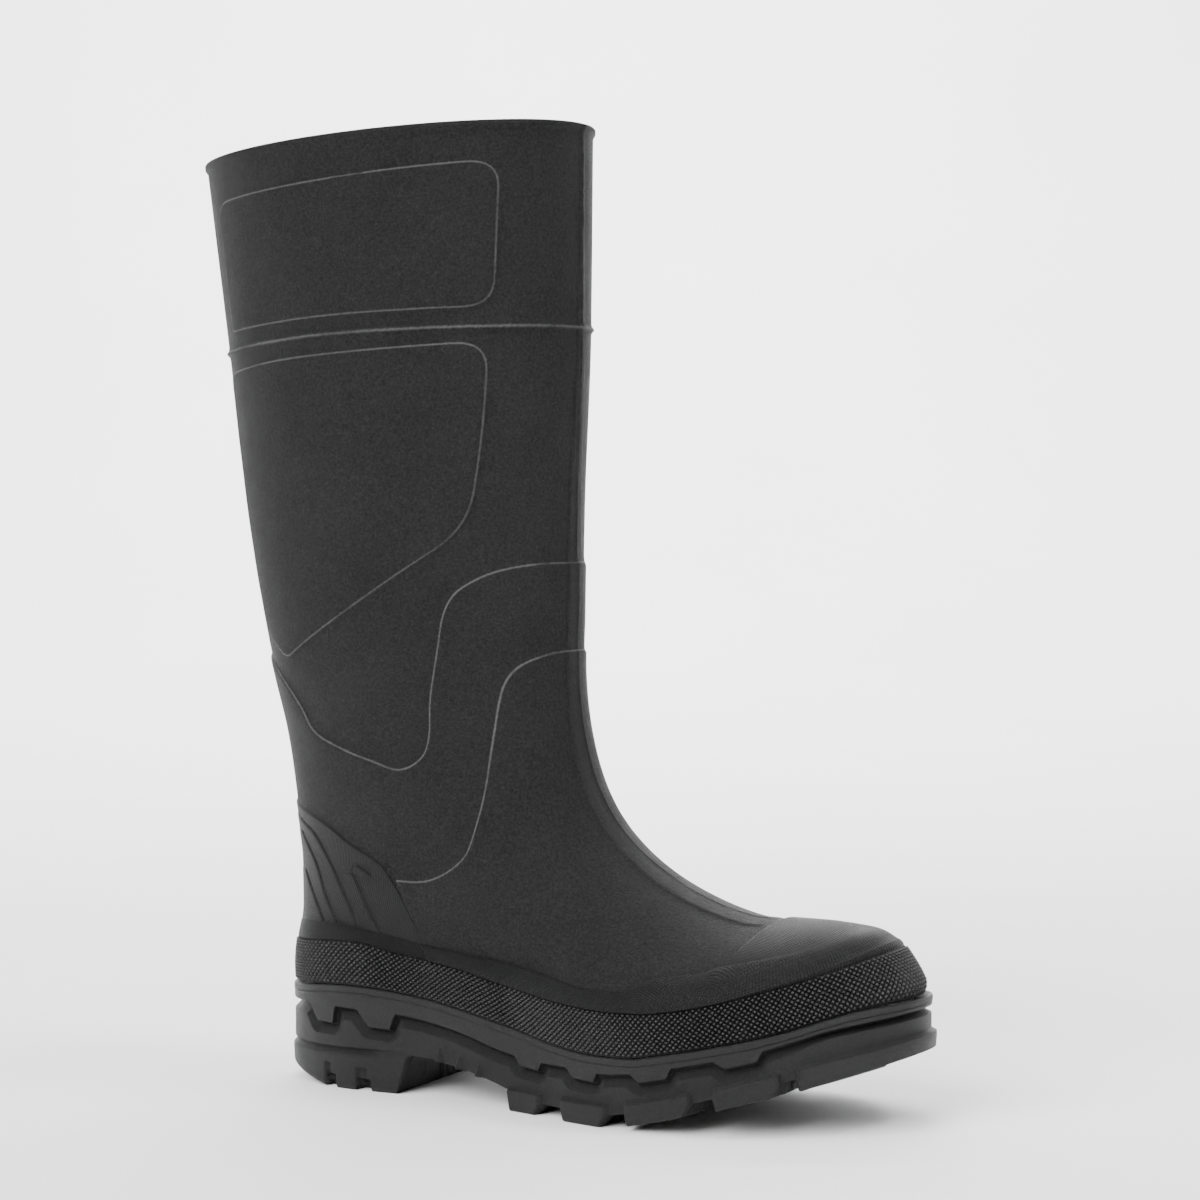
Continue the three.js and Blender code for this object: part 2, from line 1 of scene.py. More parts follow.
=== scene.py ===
"""The looks of a knee-high moulded work boot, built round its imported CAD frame."""
import math
import bpy
import numpy as np
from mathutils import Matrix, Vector


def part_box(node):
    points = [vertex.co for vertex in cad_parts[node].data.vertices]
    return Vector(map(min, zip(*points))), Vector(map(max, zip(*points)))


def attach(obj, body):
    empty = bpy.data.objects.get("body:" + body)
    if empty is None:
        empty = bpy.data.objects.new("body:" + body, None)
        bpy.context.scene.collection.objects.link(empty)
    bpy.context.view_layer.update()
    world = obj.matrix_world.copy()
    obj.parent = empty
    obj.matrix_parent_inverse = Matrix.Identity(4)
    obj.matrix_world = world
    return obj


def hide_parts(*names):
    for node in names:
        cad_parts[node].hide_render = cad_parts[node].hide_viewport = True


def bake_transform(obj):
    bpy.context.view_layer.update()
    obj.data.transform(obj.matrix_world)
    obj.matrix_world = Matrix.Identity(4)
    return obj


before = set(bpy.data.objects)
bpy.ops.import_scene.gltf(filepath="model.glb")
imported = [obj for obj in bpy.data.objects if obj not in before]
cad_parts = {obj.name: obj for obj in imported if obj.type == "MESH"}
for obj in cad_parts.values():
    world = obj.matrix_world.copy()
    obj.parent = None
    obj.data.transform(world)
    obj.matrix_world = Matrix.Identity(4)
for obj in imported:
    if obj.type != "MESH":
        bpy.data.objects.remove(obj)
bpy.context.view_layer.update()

# The boot's own drawing frame is in millimetres. Its x runs from heel to toe with 0 at the middle of the
# sole, its y points to the medial side, and its z is the height above the ground.
SHIFT_X = sum(corner.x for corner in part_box("midsole")) / 2
MM = 0.001
PI = math.pi

# ---------------------------------------------------------------- shape of the boot
def smooth_curve(points):
    """A curve through (x, value) points that never overshoots them."""
    table = np.array(points, float)
    xs, ys = table[:, 0], table[:, 1]
    rise = np.diff(ys) / np.diff(xs)
    slopes = np.empty(len(xs))
    slopes[0], slopes[-1] = rise[0], rise[-1]
    before, after = rise[:-1], rise[1:]
    total = np.where(before + after == 0, 1, before + after)
    slopes[1:-1] = np.where(before * after <= 0, 0, 2 * before * after / total)

    def value(x):
        x = np.asarray(x, float)
        i = np.clip(np.searchsorted(xs, x, side="right") - 1, 0, len(xs) - 2)
        width = xs[i + 1] - xs[i]
        t = np.clip((x - xs[i]) / width, 0, 1)
        inside = ((2 * t**3 - 3 * t**2 + 1) * ys[i] + (t**3 - 2 * t**2 + t) * width * slopes[i]
                  + (3 * t**2 - 2 * t**3) * ys[i + 1] + (t**3 - t**2) * width * slopes[i + 1])
        before_first = np.minimum(x - xs[0], 0) * slopes[0]
        past_last = np.maximum(x - xs[-1], 0) * slopes[-1]
        return inside + before_first + past_last
    return value


def mix(a, b, t):
    return a + (b - a) * t


def ease(x, low, high):
    """A smooth rise from 0 at low to 1 at high."""
    t = np.clip((np.asarray(x, float) - low) / (high - low), 0, 1)
    return t * t * (3 - 2 * t)


def fall(x, low, high):
    """A smooth fall from 1 at low to 0 at high."""
    return 1 - ease(x, low, high)


# The sole's outline is given by the cosine of the angle round it, the foot's shape by x, and the shaft's
# shape by height.
outline_fullness = smooth_curve([
    (-1, 73), (-0.925, 68), (-0.75, 56), (-0.41, 39.8), (-0.14, 40.2), (0.14, 49.8), (0.34, 57.5),
    (0.58, 63.3), (0.79, 67.4), (1, 71)])
sole_centre = smooth_curve([
    (-146, 0), (-110, 0), (-60, -1.8), (-20, -3.3), (20, -3.7), (50, -2), (85, 1.5), (115, 5.5),
    (135, 8.5), (146, 10)])
rand_low = smooth_curve([
    (-146, 40.5), (-97, 44.4), (-61, 41.4), (-43, 38.8), (-25, 35.4), (5, 29.8), (24, 28.2), (40, 28.4),
    (56, 31), (84, 36.7), (104, 41.6), (119, 46.5), (131, 49.7), (142, 51)])
rand_high = smooth_curve([
    (-146, 60), (-97, 63.7), (-75, 60), (-43, 56.4), (-25, 52.7), (10, 48.4), (32, 47.3), (46, 47.4),
    (60, 49), (77, 52.6), (95, 57.8), (108, 61.7), (120, 66), (130, 70)])
BORDER_REAR = [(-142, 67), (-107, 70), (-82, 68), (-61, 65), (-38, 62), (-14, 59)]
border_high = smooth_curve(BORDER_REAR + [
    (7, 56), (23, 54), (38, 53.8), (44, 56), (52, 59), (60, 60), (71, 61), (80, 63.6)])
border_flow = smooth_curve(BORDER_REAR + [
    (7, 57), (30, 56), (50, 57.5), (80, 63.6), (100, 68), (115, 72), (122, 74.5)])
ridge_height = smooth_curve([
    (-11, 260), (-10, 200), (-9, 165), (-6, 143), (0, 124), (9, 110), (22, 99), (38, 89.5), (55, 82),
    (75, 77.8), (95, 77.5), (112, 76.8), (122, 74.5), (129, 70), (134, 62), (139, 48)])
shaft_back = smooth_curve([
    (42, -141), (60, -140), (76, -138), (96, -137.5), (106, -138.5), (126, -142), (149, -147),
    (178, -155), (200, -160), (245, -168), (311, -176), (394, -187), (420, -190.4)])
shaft_front = smooth_curve([
    (40, 140), (60, 130), (74, 118), (78, 72), (82, 55), (89.5, 38), (99, 22), (110, 9), (124, 0),
    (143, -6), (165, -9), (190, -11), (245, -10.5), (320, -8), (406, -7.5)])
shaft_middle = smooth_curve([
    (40, -75), (110, -75), (133, -74), (187, -85), (250, -90), (311, -92), (400, -97.5)])
shaft_half = smooth_curve([
    (40, 35), (60, 35.3), (90, 38.5), (110, 41.5), (133, 44), (187, 46.5), (250, 51), (311, 55),
    (394, 59.5), (420, 61)])
# Levels of the upper's surface: 0 is the foot of the rand, 1 its top, 2 the border strip, 3 the ridge of
# the foot and 16 the topline. Each holds x and z at the back, x and z at the front, and its dip between.
LEVELS = [
    (-141, 42, 139, 48, 0), (-140, 60, 129, 70, 0), (-139, 67, 122, 74.5, 0), (-138, 76, 112, 76.8, 14),
    (-137.5, 86, 95, 77.5, 10), (-137.5, 96, 75, 77.8, 6), (-138.5, 106, 55, 82, 3),
    (-140, 116, 38, 89.5, 1), (-142, 126, 22, 99, 0), (-144, 137, 9, 110, 0), (-147, 149, 0, 124, 0),
    (-151, 163, -6, 143, 0), (-155, 178, -9, 165, 0), (-160, 200, -11, 190, 0),
    (-168, 245, -10.5, 245, 0), (-176, 311, -8, 320, 0), (-187, 394, -7.5, 406, 0),
    (-188.7, 407, -7.4, 419.5, 0)]
back_x, back_z, front_x, front_z, dip_depth = [
    smooth_curve(list(enumerate(column))) for column in zip(*LEVELS)]
TOP, LAST_LEVEL = 16.0, 17
DIP_POWER, DIP_PEAK = 2.1, 0.1424  # the dip is s**2.1 * (1 - s), and 0.1424 is its largest value
FOOT_WALL, LEG_WALL = 5.3, 3.0
FOOT_WIDTH, RAND_WIDTH = 0.945, 0.948  # shares of the sole's half width
COLUMNS, ROWS = 340, 250
SOLE_HALF_LENGTH, SOLE_COLUMNS = 146, 1000


def sole_half(c):
    """Half width of the sole, from the cosine of the angle round it."""
    return outline_fullness(c) * np.sqrt(np.maximum(0, 1 - c * c))


def ring_height(level, x):
    """Height of a level's ring over each x."""
    s = np.clip((x - back_x(level)) / (front_x(level) - back_x(level)), 0, 1)

    def free(at):
        dip = dip_depth(at) * s**DIP_POWER * (1 - s) / DIP_PEAK
        return mix(back_z(at), front_z(at), s) - dip
    low, high, flow = rand_low(x), rand_high(x), border_flow(x)
    z = np.where(level <= 1, mix(low, high, level), free(level))
    z = np.where((level > 1) & (level <= 2), mix(high, flow, level - 1), z)
    return np.where((level > 2) & (level <= 3), mix(flow, free(np.full_like(level, 3.0)), level - 2), z)


def upper_half(x, z):
    """Half width of the upper: an arched foot that flows into an oval shaft."""
    rear, front = -140.0, 129.0
    c = (x - (rear + front) / 2) / ((front - rear) / 2)
    low = rand_high(x)
    t = np.clip((z - low) / (ridge_height(x) - low), 0, 1)
    foot = FOOT_WIDTH * sole_half(np.clip(c, -1, 1)) * (1 - t**1.6) ** (1 / 1.8)
    power = mix(2.35, 2, ease(z, 90, 160))
    middle = shaft_middle(z)
    end = np.where(x < middle, shaft_back(z), shaft_front(z))
    c = np.clip((x - middle) / (end - middle), 0, 1)
    shaft = shaft_half(z) * (1 - c**power) ** (1 / power)
    share = ease(x, -45, 20) * fall(z, 100, 135)
    return mix(shaft, foot, share)


def centre_line(x, z):
    """Where the upper's middle lies sideways: the foot follows the sole and the shaft is straight."""
    return sole_centre(x) * fall(z, 70, 105)


def surface(level, angle):
    """Points of the upper's outer surface, from levels and angles of one shape."""
    c = np.cos(angle)
    x = (back_x(level) + front_x(level)) / 2 + (front_x(level) - back_x(level)) / 2 * c
    z = ring_height(level, x)
    half = mix(RAND_WIDTH * sole_half(c), upper_half(x, z), ease(level, 1, 2.4))
    side = np.where(np.sin(angle) >= 0, 1.0, -1.0)
    return np.stack([x, centre_line(x, z) + half * side, z], -1)


def unit(vectors):
    return vectors / np.maximum(np.linalg.norm(vectors, axis=-1, keepdims=True), 1e-9)


def surface_normals(level, angle):
    """Outward normals of the surface, from points a small step to each side."""
    turn, climb = 0.012, 0.02
    along = surface(level, angle + turn) - surface(level, angle - turn)
    above, below = np.minimum(level + climb, LAST_LEVEL), np.maximum(level - climb, 0)
    return unit(np.cross(along, surface(above, angle) - surface(below, angle)))


def upper_points(levels, angles):
    """The upper's outer surface at each level and angle, and the outward normals there."""
    level, angle = np.meshgrid(np.asarray(levels, float), np.asarray(angles, float), indexing="ij")
    return surface(level, angle), surface_normals(level, angle)


def grid_normals(points):
    """Outward normals of a grid whose rows are closed rings."""
    along = np.roll(points, -1, axis=1) - np.roll(points, 1, axis=1)
    up = np.gradient(points, axis=0)
    return unit(np.cross(along, up))


def wall_at(level):
    """Thickness of the upper's wall, which thins at the ankle."""
    return mix(FOOT_WALL, LEG_WALL, ease(level, 8, 12))


def steps(points):
    """Lengths of the steps down a grid of points."""
    return np.linalg.norm(np.diff(points, axis=0), axis=-1)


def running(lengths):
    """Distances from the start, from the lengths of the steps."""
    return np.concatenate([[0], np.cumsum(lengths)])

def even_angles(level, count):
    """Angles that divide the ring at a level into equal lengths, and the length of the ring."""
    fine = np.linspace(0, 2 * PI, 4001)
    points, _ = upper_points([level], fine)
    length = running(steps(points[0]))
    return np.interp(np.arange(count) / count * length[-1], length, fine), length[-1]


def even_levels(low, high, count, angles):
    """Levels that divide the surface between two levels into nearly equal steps."""
    fine = np.linspace(low, high, 1200)
    points, _ = upper_points(fine, angles)
    length = running(steps(points).mean(axis=1))
    return np.interp(np.linspace(0, length[-1], count), length, fine)


# ---------------------------------------------------------------- meshes
def new_mesh(name, points, faces, uv=None, smooth=True):
    """An object from points and texture places in millimetres."""
    places = np.asarray(points, float).reshape(-1, 3) * MM
    places[:, 0] += SHIFT_X
    mesh = bpy.data.meshes.new(name)
    mesh.from_pydata(places, [], faces)
    if uv is not None:
        layer = mesh.uv_layers.new(name="UVMap")
        layer.data.foreach_set("uv", (uv * MM).astype(np.float32).ravel())
    mesh.validate()
    if smooth:
        mesh.shade_smooth()
    return add_object(name, mesh)


def add_object(name, data):
    obj = bpy.data.objects.new(name, data)
    bpy.context.scene.collection.objects.link(obj)
    return obj


def cells(rows, columns):
    """Numbers of the four points round each cell of a grid that wraps round both ways."""
    i, j = np.indices((rows, columns))
    below, above = i * columns, (i + 1) % rows * columns
    following = (j + 1) % columns
    return np.stack([below + j, below + following, above + following, above + j], -1)


def ring_solid(name, rows, lengths=None, heights=None, flip_faces=False):
    """A closed solid from rows of points: each row is a closed ring, and the last row joins the first."""
    grid = np.asarray(rows, float)
    count, width = grid.shape[:2]
    faces = cells(count, width).reshape(-1, 4)
    uv = None
    if lengths is not None:
        i, j = np.indices((count, width))
        low, high = heights[i], heights[np.minimum(i + 1, count - 1)]
        u = np.stack([lengths[j], lengths[j + 1], lengths[j + 1], lengths[j]], -1)
        uv = np.stack([u, np.stack([low, low, high, high], -1)], -1).reshape(-1, 2)
    if flip_faces:
        faces = faces[:, ::-1]
    return new_mesh(name, grid, faces.tolist(), uv)


def plate_solid(name, outer, inner, u, v):
    """A closed plate from two grids of the same size, with the texture place of each point."""
    rows, cols = outer.shape[:2]
    n = rows * cols
    face = cells(rows, cols)[:-1, :-1].reshape(-1, 4)
    low = np.arange(cols - 1)
    top = low + (rows - 1) * cols
    left = np.arange(rows - 1) * cols
    right = left + cols - 1
    borders = ((low + 1, low), (top, top + 1), (left, left + cols), (right + cols, right))
    rims = [np.stack([one, two, two + n, one + n], -1) for one, two in borders]
    faces = np.concatenate([face, face[:, ::-1] + n, *rims])
    flat = np.stack([np.tile(u.reshape(-1), 2), np.tile(v.reshape(-1), 2)], -1)
    points = np.concatenate([outer.reshape(-1, 3), inner.reshape(-1, 3)])
    return new_mesh(name, points, faces.tolist(), flat[faces.reshape(-1)])


# ---------------------------------------------------------------- relief
def spline(points, pieces=7):
    """A smooth line through points, with a number of pieces between each two of them."""
    p = np.array(points, float)
    p = np.concatenate([[2 * p[0] - p[1]], p, [2 * p[-1] - p[-2]]])
    out = []
    for a, b, c, d in zip(p[:-3], p[1:-2], p[2:-1], p[3:]):
        for t in np.arange(pieces) / pieces:
            out.append(0.5 * (2 * b + (c - a) * t + (2 * a - 5 * b + 4 * c - d) * t**2
                              + (3 * b - a - 3 * c + d) * t**3))
    out.append(p[-2])
    return np.array(out)


def rounded(corners):
    """A closed outline from (x, z, radius) corners. It ends where it starts."""
    pts = np.array([c[:2] for c in corners], float)
    out = []
    for k, (_, _, radius) in enumerate(corners):
        here, last, following = pts[k], pts[k - 1], pts[(k + 1) % len(pts)]
        ends = []
        for side in (last - here, following - here):
            length = np.linalg.norm(side)
            ends.append(here + side / length * min(radius, 0.48 * length))
        for t in np.linspace(0, 1, 9 if radius > 1 else 2):
            out.append((1 - t) ** 2 * ends[0] + 2 * t * (1 - t) * here + t * t * ends[1])
    return np.array(out + out[:1])


def line_distance(x, z, line):
    """Distance of each point from a line in the side view."""
    best = np.full(x.shape, 1e9)
    for (x0, z0), (x1, z1) in zip(line[:-1], line[1:]):
        dx, dz = x1 - x0, z1 - z0
        size = max(dx * dx + dz * dz, 1e-9)
        t = np.clip(((x - x0) * dx + (z - z0) * dz) / size, 0, 1)
        best = np.minimum(best, (x - x0 - t * dx) ** 2 + (z - z0 - t * dz) ** 2)
    return np.sqrt(best)


def inside(x, z, outline):
    """Whether each point of the side view lies in a closed outline."""
    hit = np.zeros(x.shape, bool)
    for (x0, z0), (x1, z1) in zip(outline, np.roll(outline, -1, axis=0)):
        cross = (z0 > z) != (z1 > z)
        edge = (x1 - x0) * (z - z0) / (z1 - z0 if z1 != z0 else 1e-9) + x0
        hit ^= cross & (x < edge)
    return hit


EDGE_REACH = 4.0  # distances to an edge are only kept up to here


def edge_distance(x, z, outline, line):
    """Distance to the visible edge of a raised area in the side view, above zero inside it."""
    lows, highs = line.min(axis=0) - EDGE_REACH, line.max(axis=0) + EDGE_REACH
    near = (x > lows[0]) & (x < highs[0]) & (z > lows[1]) & (z < highs[1])
    distance = np.full(x.shape, EDGE_REACH)
    distance[near] = line_distance(x[near], z[near], line)
    return np.clip(np.where(inside(x, z, outline), distance, -distance), -EDGE_REACH, EDGE_REACH)


TOP_PANEL = rounded([
    (-163.5, 376.5, 9), (-96, 382.5, 20), (-26.5, 389, 11), (-29, 329.5, 11), (-100, 326.5, 20),
    (-157.5, 322.0, 0.5), (-160, 345, 20)])
CALF_PANEL = rounded([
    (-163.5, 304, 6), (-125, 309, 25), (-31, 315, 12), (-33.5, 279, 20), (-40, 238, 16), (-88.5, 207, 20),
    (-131, 182.5, 4), (-147, 193, 10), (-152, 215, 18), (-157, 254, 30)])
ANKLE_LINE = spline([
    (-172, 187), (-158, 184), (-148, 181), (-135, 172), (-124, 162), (-116, 152), (-101, 146), (-83, 141),
    (-70, 138), (-60, 143), (-56.5, 152), (-56, 168), (-53, 188), (-50.5, 202), (-46, 211), (-38, 217),
    (-29, 221), (-18, 223.5), (-8, 224)])
ANKLE_AREA = np.concatenate([ANKLE_LINE, [(200, 224), (200, -100), (-300, -100), (-300, 187)]])
VAMP_LINE = spline([
    (-8, 187.5), (-13, 187), (-18, 185), (-24, 181), (-28, 175), (-30, 166), (-31.5, 150), (-33.5, 128),
    (-37, 113), (-41, 103), (-50, 95.6), (-61, 91.4), (-74, 91)])
VAMP_AREA = np.concatenate([VAMP_LINE, [(-72, 85), (-60, 60), (-60, -100), (300, -100), (300, 187.5)]])
COUNTER_LINE = spline([
    (-160, 127), (-143, 123), (-113.5, 115), (-96, 106), (-82, 99), (-76, 93), (-73, 88), (-68, 79),
    (-61, 66.5)])
FINS = [spline(points) for points in (
    [(-86.5, 92.4), (-91, 95.4), (-94.5, 96), (-96, 93.7), (-93.5, 88), (-89, 78), (-84, 70), (-82, 67)],
    [(-132, 114.6), (-126, 112), (-117, 107.5), (-108, 95.7), (-102.5, 85.5), (-98.5, 77.6), (-96, 71)],
    [(-128, 107.7), (-118, 95.6), (-113, 82.4), (-107, 71)],
    [(-127, 91), (-122, 83), (-115, 70.6)])]
guard_rear = smooth_curve([(56, 66), (61, 71.5), (66, 76.5), (71, 79.5), (77, 82.5)])
cuff_height = smooth_curve([(-180, 312.4), (-92, 319), (-7, 322)])
strip_half = smooth_curve([
    (70, 9), (80, 11.5), (110, 11), (160, 8.5), (220, 6.5), (320, 3.2), (380, 1.6), (406, 1.2)])


def noise_line(values, seed, amount):
    """A ragged, repeatable offset along a line."""
    knots = np.random.default_rng(seed).uniform(-1, 1, 400)
    return amount * np.interp(values, np.arange(len(knots)), knots)


EDGES = ("edge_panel", "edge_ankle", "edge_vamp", "edge_cuff")


def upper_edges(points):
    """Distances to the edges of the panels, the ankle piece and the vamp, and to the rib."""
    x, z = points[..., 0], points[..., 2]
    panel = np.maximum(*(edge_distance(x, z, outline, outline) for outline in (TOP_PANEL, CALF_PANEL)))
    ankle = edge_distance(x, z, ANKLE_AREA, ANKLE_LINE)
    vamp = edge_distance(x, z, VAMP_AREA, VAMP_LINE)
    cuff = z - cuff_height(x) - noise_line((x + 200) * 1.3, 3, 0.12)
    return panel, ankle, vamp, np.clip(cuff, -EDGE_REACH, EDGE_REACH)


PANEL_STEP, ANKLE_STEP, VAMP_STEP = 1.0, 1.0, 0.9
RIB_HEIGHT, RIB_WIDTH = 1.25, 1.05
STRIP_HEIGHT = 0.55
SEAM_HEIGHT, SEAM_WIDTH = 0.35, 0.55
BACK_SEAM_HEIGHT, BACK_SEAM_WIDTH = 0.3, 0.6
LIP_HEIGHT = 0.95
TOE_START, TOE_FULL = 98, 112


def upper_relief(points):
    """How far the moulded surface stands out at each point of the upper, in millimetres."""
    x, y, z = points[..., 0], points[..., 1], points[..., 2]
    panel, ankle, vamp, cuff = upper_edges(points)
    relief = PANEL_STEP * ease(panel, -0.8, 0.8) + ANKLE_STEP * ease(ankle, -0.75, 0.75)
    relief += VAMP_STEP * ease(vamp, -0.7, 0.7)
    # A thin rib goes round under the cuff, a little ragged where the mould parts.
    relief += (RIB_HEIGHT + noise_line((x + 200) * 1.7, 5, 0.15)) * np.exp(-(cuff / RIB_WIDTH) ** 2)
    # A soft strip widens down the front, over the line where the two mould halves meet.
    front = (x > np.where(z > 130, shaft_middle(z) + 30, -20)) * fall(x, 77, 82)
    strip_foot = 86
    seam = np.abs(y - centre_line(x, z))
    relief += front * STRIP_HEIGHT * ease(strip_half(np.maximum(z, strip_foot)) - seam, -0.9, 0.9)
    flash = SEAM_HEIGHT + noise_line(z * 0.8, 11, 0.25) * ease(z, 180, 380)
    relief += front * np.maximum(flash, 0.1) * np.exp(-(seam / SEAM_WIDTH) ** 2)
    behind = (x < shaft_middle(z) - 30) & (z > 126)
    relief += behind * BACK_SEAM_HEIGHT * np.exp(-(y / BACK_SEAM_WIDTH) ** 2)
    # The topline ends in a thin lip.
    topline = mix(394.0, 406.0, (x + 187) / 179.5)
    return relief + LIP_HEIGHT * ease(z - topline, -2.6, -1.6)


def relaxed(points, weight, rounds):
    """A grid of closed rings, drawn towards the mean of its neighbours where the weight says so."""
    weight = 0.5 * weight[..., None]
    weight[:2], weight[-2:] = 0, 0
    for _ in range(rounds):
        around = (np.roll(points, 1, axis=1) + np.roll(points, -1, axis=1)) / 2
        above = np.concatenate([points[:1], points[:-1]])
        below = np.concatenate([points[1:], points[-1:]])
        target = (around + (above + below) / 2) / 2
        points = points + weight * (target - points)
    return points


def relax_toe(points):
    """Evens out the nose of the toe, where the columns crowd together."""
    return relaxed(points, ease(points[..., 0], TOE_START, TOE_FULL), 140)


def relax_upper(points):
    """Eases the hollow where the foot's section meets the shaft's, and the nose of the toe."""
    x, z = points[..., 0], points[..., 2]
    instep = ease(x, -64, -42) * fall(x, 48, 74) * ease(z, 60, 82) * fall(z, 165, 200)
    return relax_toe(relaxed(points, instep, 500))


COVER_DEPTH = 1.7


def covered(points):
    """How far the upper sinks where the toe guard and its border strip lie over it."""
    x, z = points[..., 0], points[..., 2]
    toe = ease(x - guard_rear(z), 3, 6) * ease(z, 54, 58)
    return COVER_DEPTH * np.maximum(toe, ease(border_high(x) - z, 1.5, 3.5) * (x < 82))


def keep_number(obj, name, values, rest):
    """Keeps a number at each point of a piece for its material: first points given, others resting."""
    numbers = np.full(len(obj.data.vertices), rest, np.float32)
    numbers[:values.size] = values.ravel()
    obj.data.attributes.new(name, "FLOAT", "POINT").data.foreach_set("value", numbers)


# How far in and how far up each ring of the rounded topline lies.
LIP_RINGS = ((-0.55, 0.45), (0.2, 0.65), (1.4, 0.6), (2.6, 0.35), (3.0, -0.4))


def make_upper():
    """The moulded upper: relief outside, a rounded topline and a plain wall inside."""
    angles, _ = even_angles(12, COLUMNS)
    levels = even_levels(0.8, TOP, ROWS, angles[::28])
    level, angle = np.meshgrid(levels, angles, indexing="ij")
    points = relax_upper(surface(level, angle))
    normals = grid_normals(points)
    rows = list(points + normals * (upper_relief(points) - covered(points))[..., None])
    outward = unit(normals[-1] * np.array([1, 1, 0]))
    for depth, lift in LIP_RINGS:
        rows.append(points[-1] - outward * depth + np.array([0, 0, lift]))
    inner_levels = even_levels(0.8, TOP - 0.15, 36, angles[::28])[::-1]
    inner, inner_normals = upper_points(inner_levels, angles)
    rows += list(inner - inner_normals * wall_at(inner_levels)[:, None, None])
    obj = ring_solid("upper_shell", rows)
    # The distances also draw the painted highlight lines along the steps and the rib, in the material.
    for name, distance in zip(EDGES, upper_edges(points)):
        keep_number(obj, name, distance, EDGE_REACH)
    return obj


def make_lining():
    """Knitted sock: a fine inner face, the foot of which turns in under the footbed."""
    angles, around = even_angles(12, 240)
    levels = even_levels(0.3, 15.68, 210, angles[::20])
    points, normals = upper_points(levels, angles)
    depth = (wall_at(levels) + 0.5)[:, None, None]
    # The knit ripples a little, in slanting waves.
    ripple = 0.35 * np.sin(angles * 5 + levels[:, None] * 1.1) * ease(levels, 3, 9)[:, None]
    ripple += 0.25 * np.sin(angles * 9 - levels[:, None] * 2.3)
    face = points - normals * (depth + 1.3 + ripple[..., None] * 0.6)
    back = (points - normals * depth)[::6]
    heights = running(steps(points[:, 60]))
    return ring_solid("sock_lining", [*face[::-1], *back], np.linspace(0, around, len(angles) + 1),
                      np.concatenate([heights[::-1], heights[::6]]))


def level_where(levels, grid, test):
    """For each column, the first level at which a test on the points holds."""
    ok = test(grid[..., 0], grid[..., 2])
    ok[-1] = True
    return levels[np.argmax(ok, axis=0)]


def column_points(low, high, angles, t):
    """Surface points and normals in columns between two levels per column."""
    level = low[None, :] + (high - low)[None, :] * t[:, None]
    angle = np.broadcast_to(angles, level.shape)
    return surface(level, angle), surface_normals(level, angle)


RAND_PITCH = 2.5
RAND_ROWS = 7.5
PER_PITCH = 4
PYRAMID_HEIGHT = 1.15


def square_columns(levels, angles, spacing):
    """Angles for each row of a sloping band, so that its columns stand square to its rows."""
    low, high = upper_points(levels[[0, -1]], angles)[0]
    along = np.roll(low, -1, axis=0) - np.roll(low, 1, axis=0)
    run = np.hypot(along[:, 0], along[:, 1])
    across = high - low
    lean = (across[:, :2] * along[:, :2]).sum(axis=1) / run
    offset = -along[:, 2] / run * across[:, 2] - lean
    for _ in range(200):
        offset = (np.roll(offset, 1) + 2 * offset + np.roll(offset, -1)) / 4
    n = len(angles)
    place = np.arange(n) + np.linspace(0, 1, len(levels))[:, None] * offset / spacing
    turns = np.concatenate([angles - 2 * PI, angles, angles + 2 * PI])
    return np.interp(place, np.arange(-n, 2 * n), turns)


def is_tip(i, j):
    """Whether a point of the rand's grid is the tip of a pyramid."""
    half = PER_PITCH // 2
    return ((i + j) % PER_PITCH == half) & ((i - j) % PER_PITCH == half)


def knurl_faces(rows, columns):
    """Triangles of the rand: each cell is split along the edge or the ridge of its pyramid."""
    corners = cells(rows, columns)
    i, j = np.indices((rows, columns))
    i = i - 1  # the knurl starts on the second row
    split = np.where((i + j) % 2 == 0, ~(is_tip(i, j) | is_tip(i + 1, j + 1)),
                     is_tip(i, j + 1) | is_tip(i + 1, j))[..., None]
    one = np.where(split, corners[..., [0, 1, 2]], corners[..., [0, 1, 3]])
    two = np.where(split, corners[..., [0, 2, 3]], corners[..., [1, 2, 3]])
    return np.concatenate([one.reshape(-1, 3), two.reshape(-1, 3)])


def make_rand():
    """The knurled rand: a band of small flat-topped pyramids round the foot."""
    _, around = even_angles(0.5, 64)
    pitches = round(around / RAND_PITCH)
    angles, around = even_angles(0.5, pitches * PER_PITCH)
    count = int(RAND_ROWS * PER_PITCH) + 1
    inner_level = np.linspace(0.03, 1.0, count)
    turned = square_columns(inner_level, angles, around / len(angles))
    level = np.broadcast_to(inner_level[:, None], turned.shape)
    points, normals = surface(level, turned), surface_normals(level, turned)
    i, j = np.indices(turned.shape)
    waves = [1 - 2 * np.abs(place / PER_PITCH % 1 - 0.5) for place in (i + j, i - j)]
    pyramid = np.minimum(1, 1.3 * np.minimum(*waves))
    t = np.linspace(0, 1, count)[:, None]
    pyramid = pyramid * ease(t, 0, 0.05) * fall(t, 0.95, 1)
    toe = ease(points[..., 0], 95, 138)
    # The band is crowned, thins at its upper edge and is thicker round the toe.
    body = 1.75 + 0.55 * np.sin(PI * np.clip(t * 1.02, 0, 1)) - 0.5 * ease(t, 0.93, 1)
    body = body + 1.5 * toe * ease(t, 0, 0.2)
    outer = points + normals * (body + PYRAMID_HEIGHT * pyramid)[..., None]
    rim = points[-1] + normals[-1] * 1.1 + np.array([0, 0, 0.35])
    low = points[0] + normals[0] * 1.2 - np.array([0, 0, 0.05])
    back_low, back_high = (points - normals * 0.6)[[0, -1]]
    rows = np.array([low, *outer, rim, back_high, back_low])
    obj = new_mesh("rand", rows, knurl_faces(*rows.shape[:2]).tolist(), smooth=False)
    # The pyramids' heights are kept as a painted highlight for the material: tips lighter, valleys left
    # darker as painted shade.
    keep_number(obj, "painted_highlight", np.concatenate([pyramid[:1] * 0, pyramid]), 0.0)
    return obj


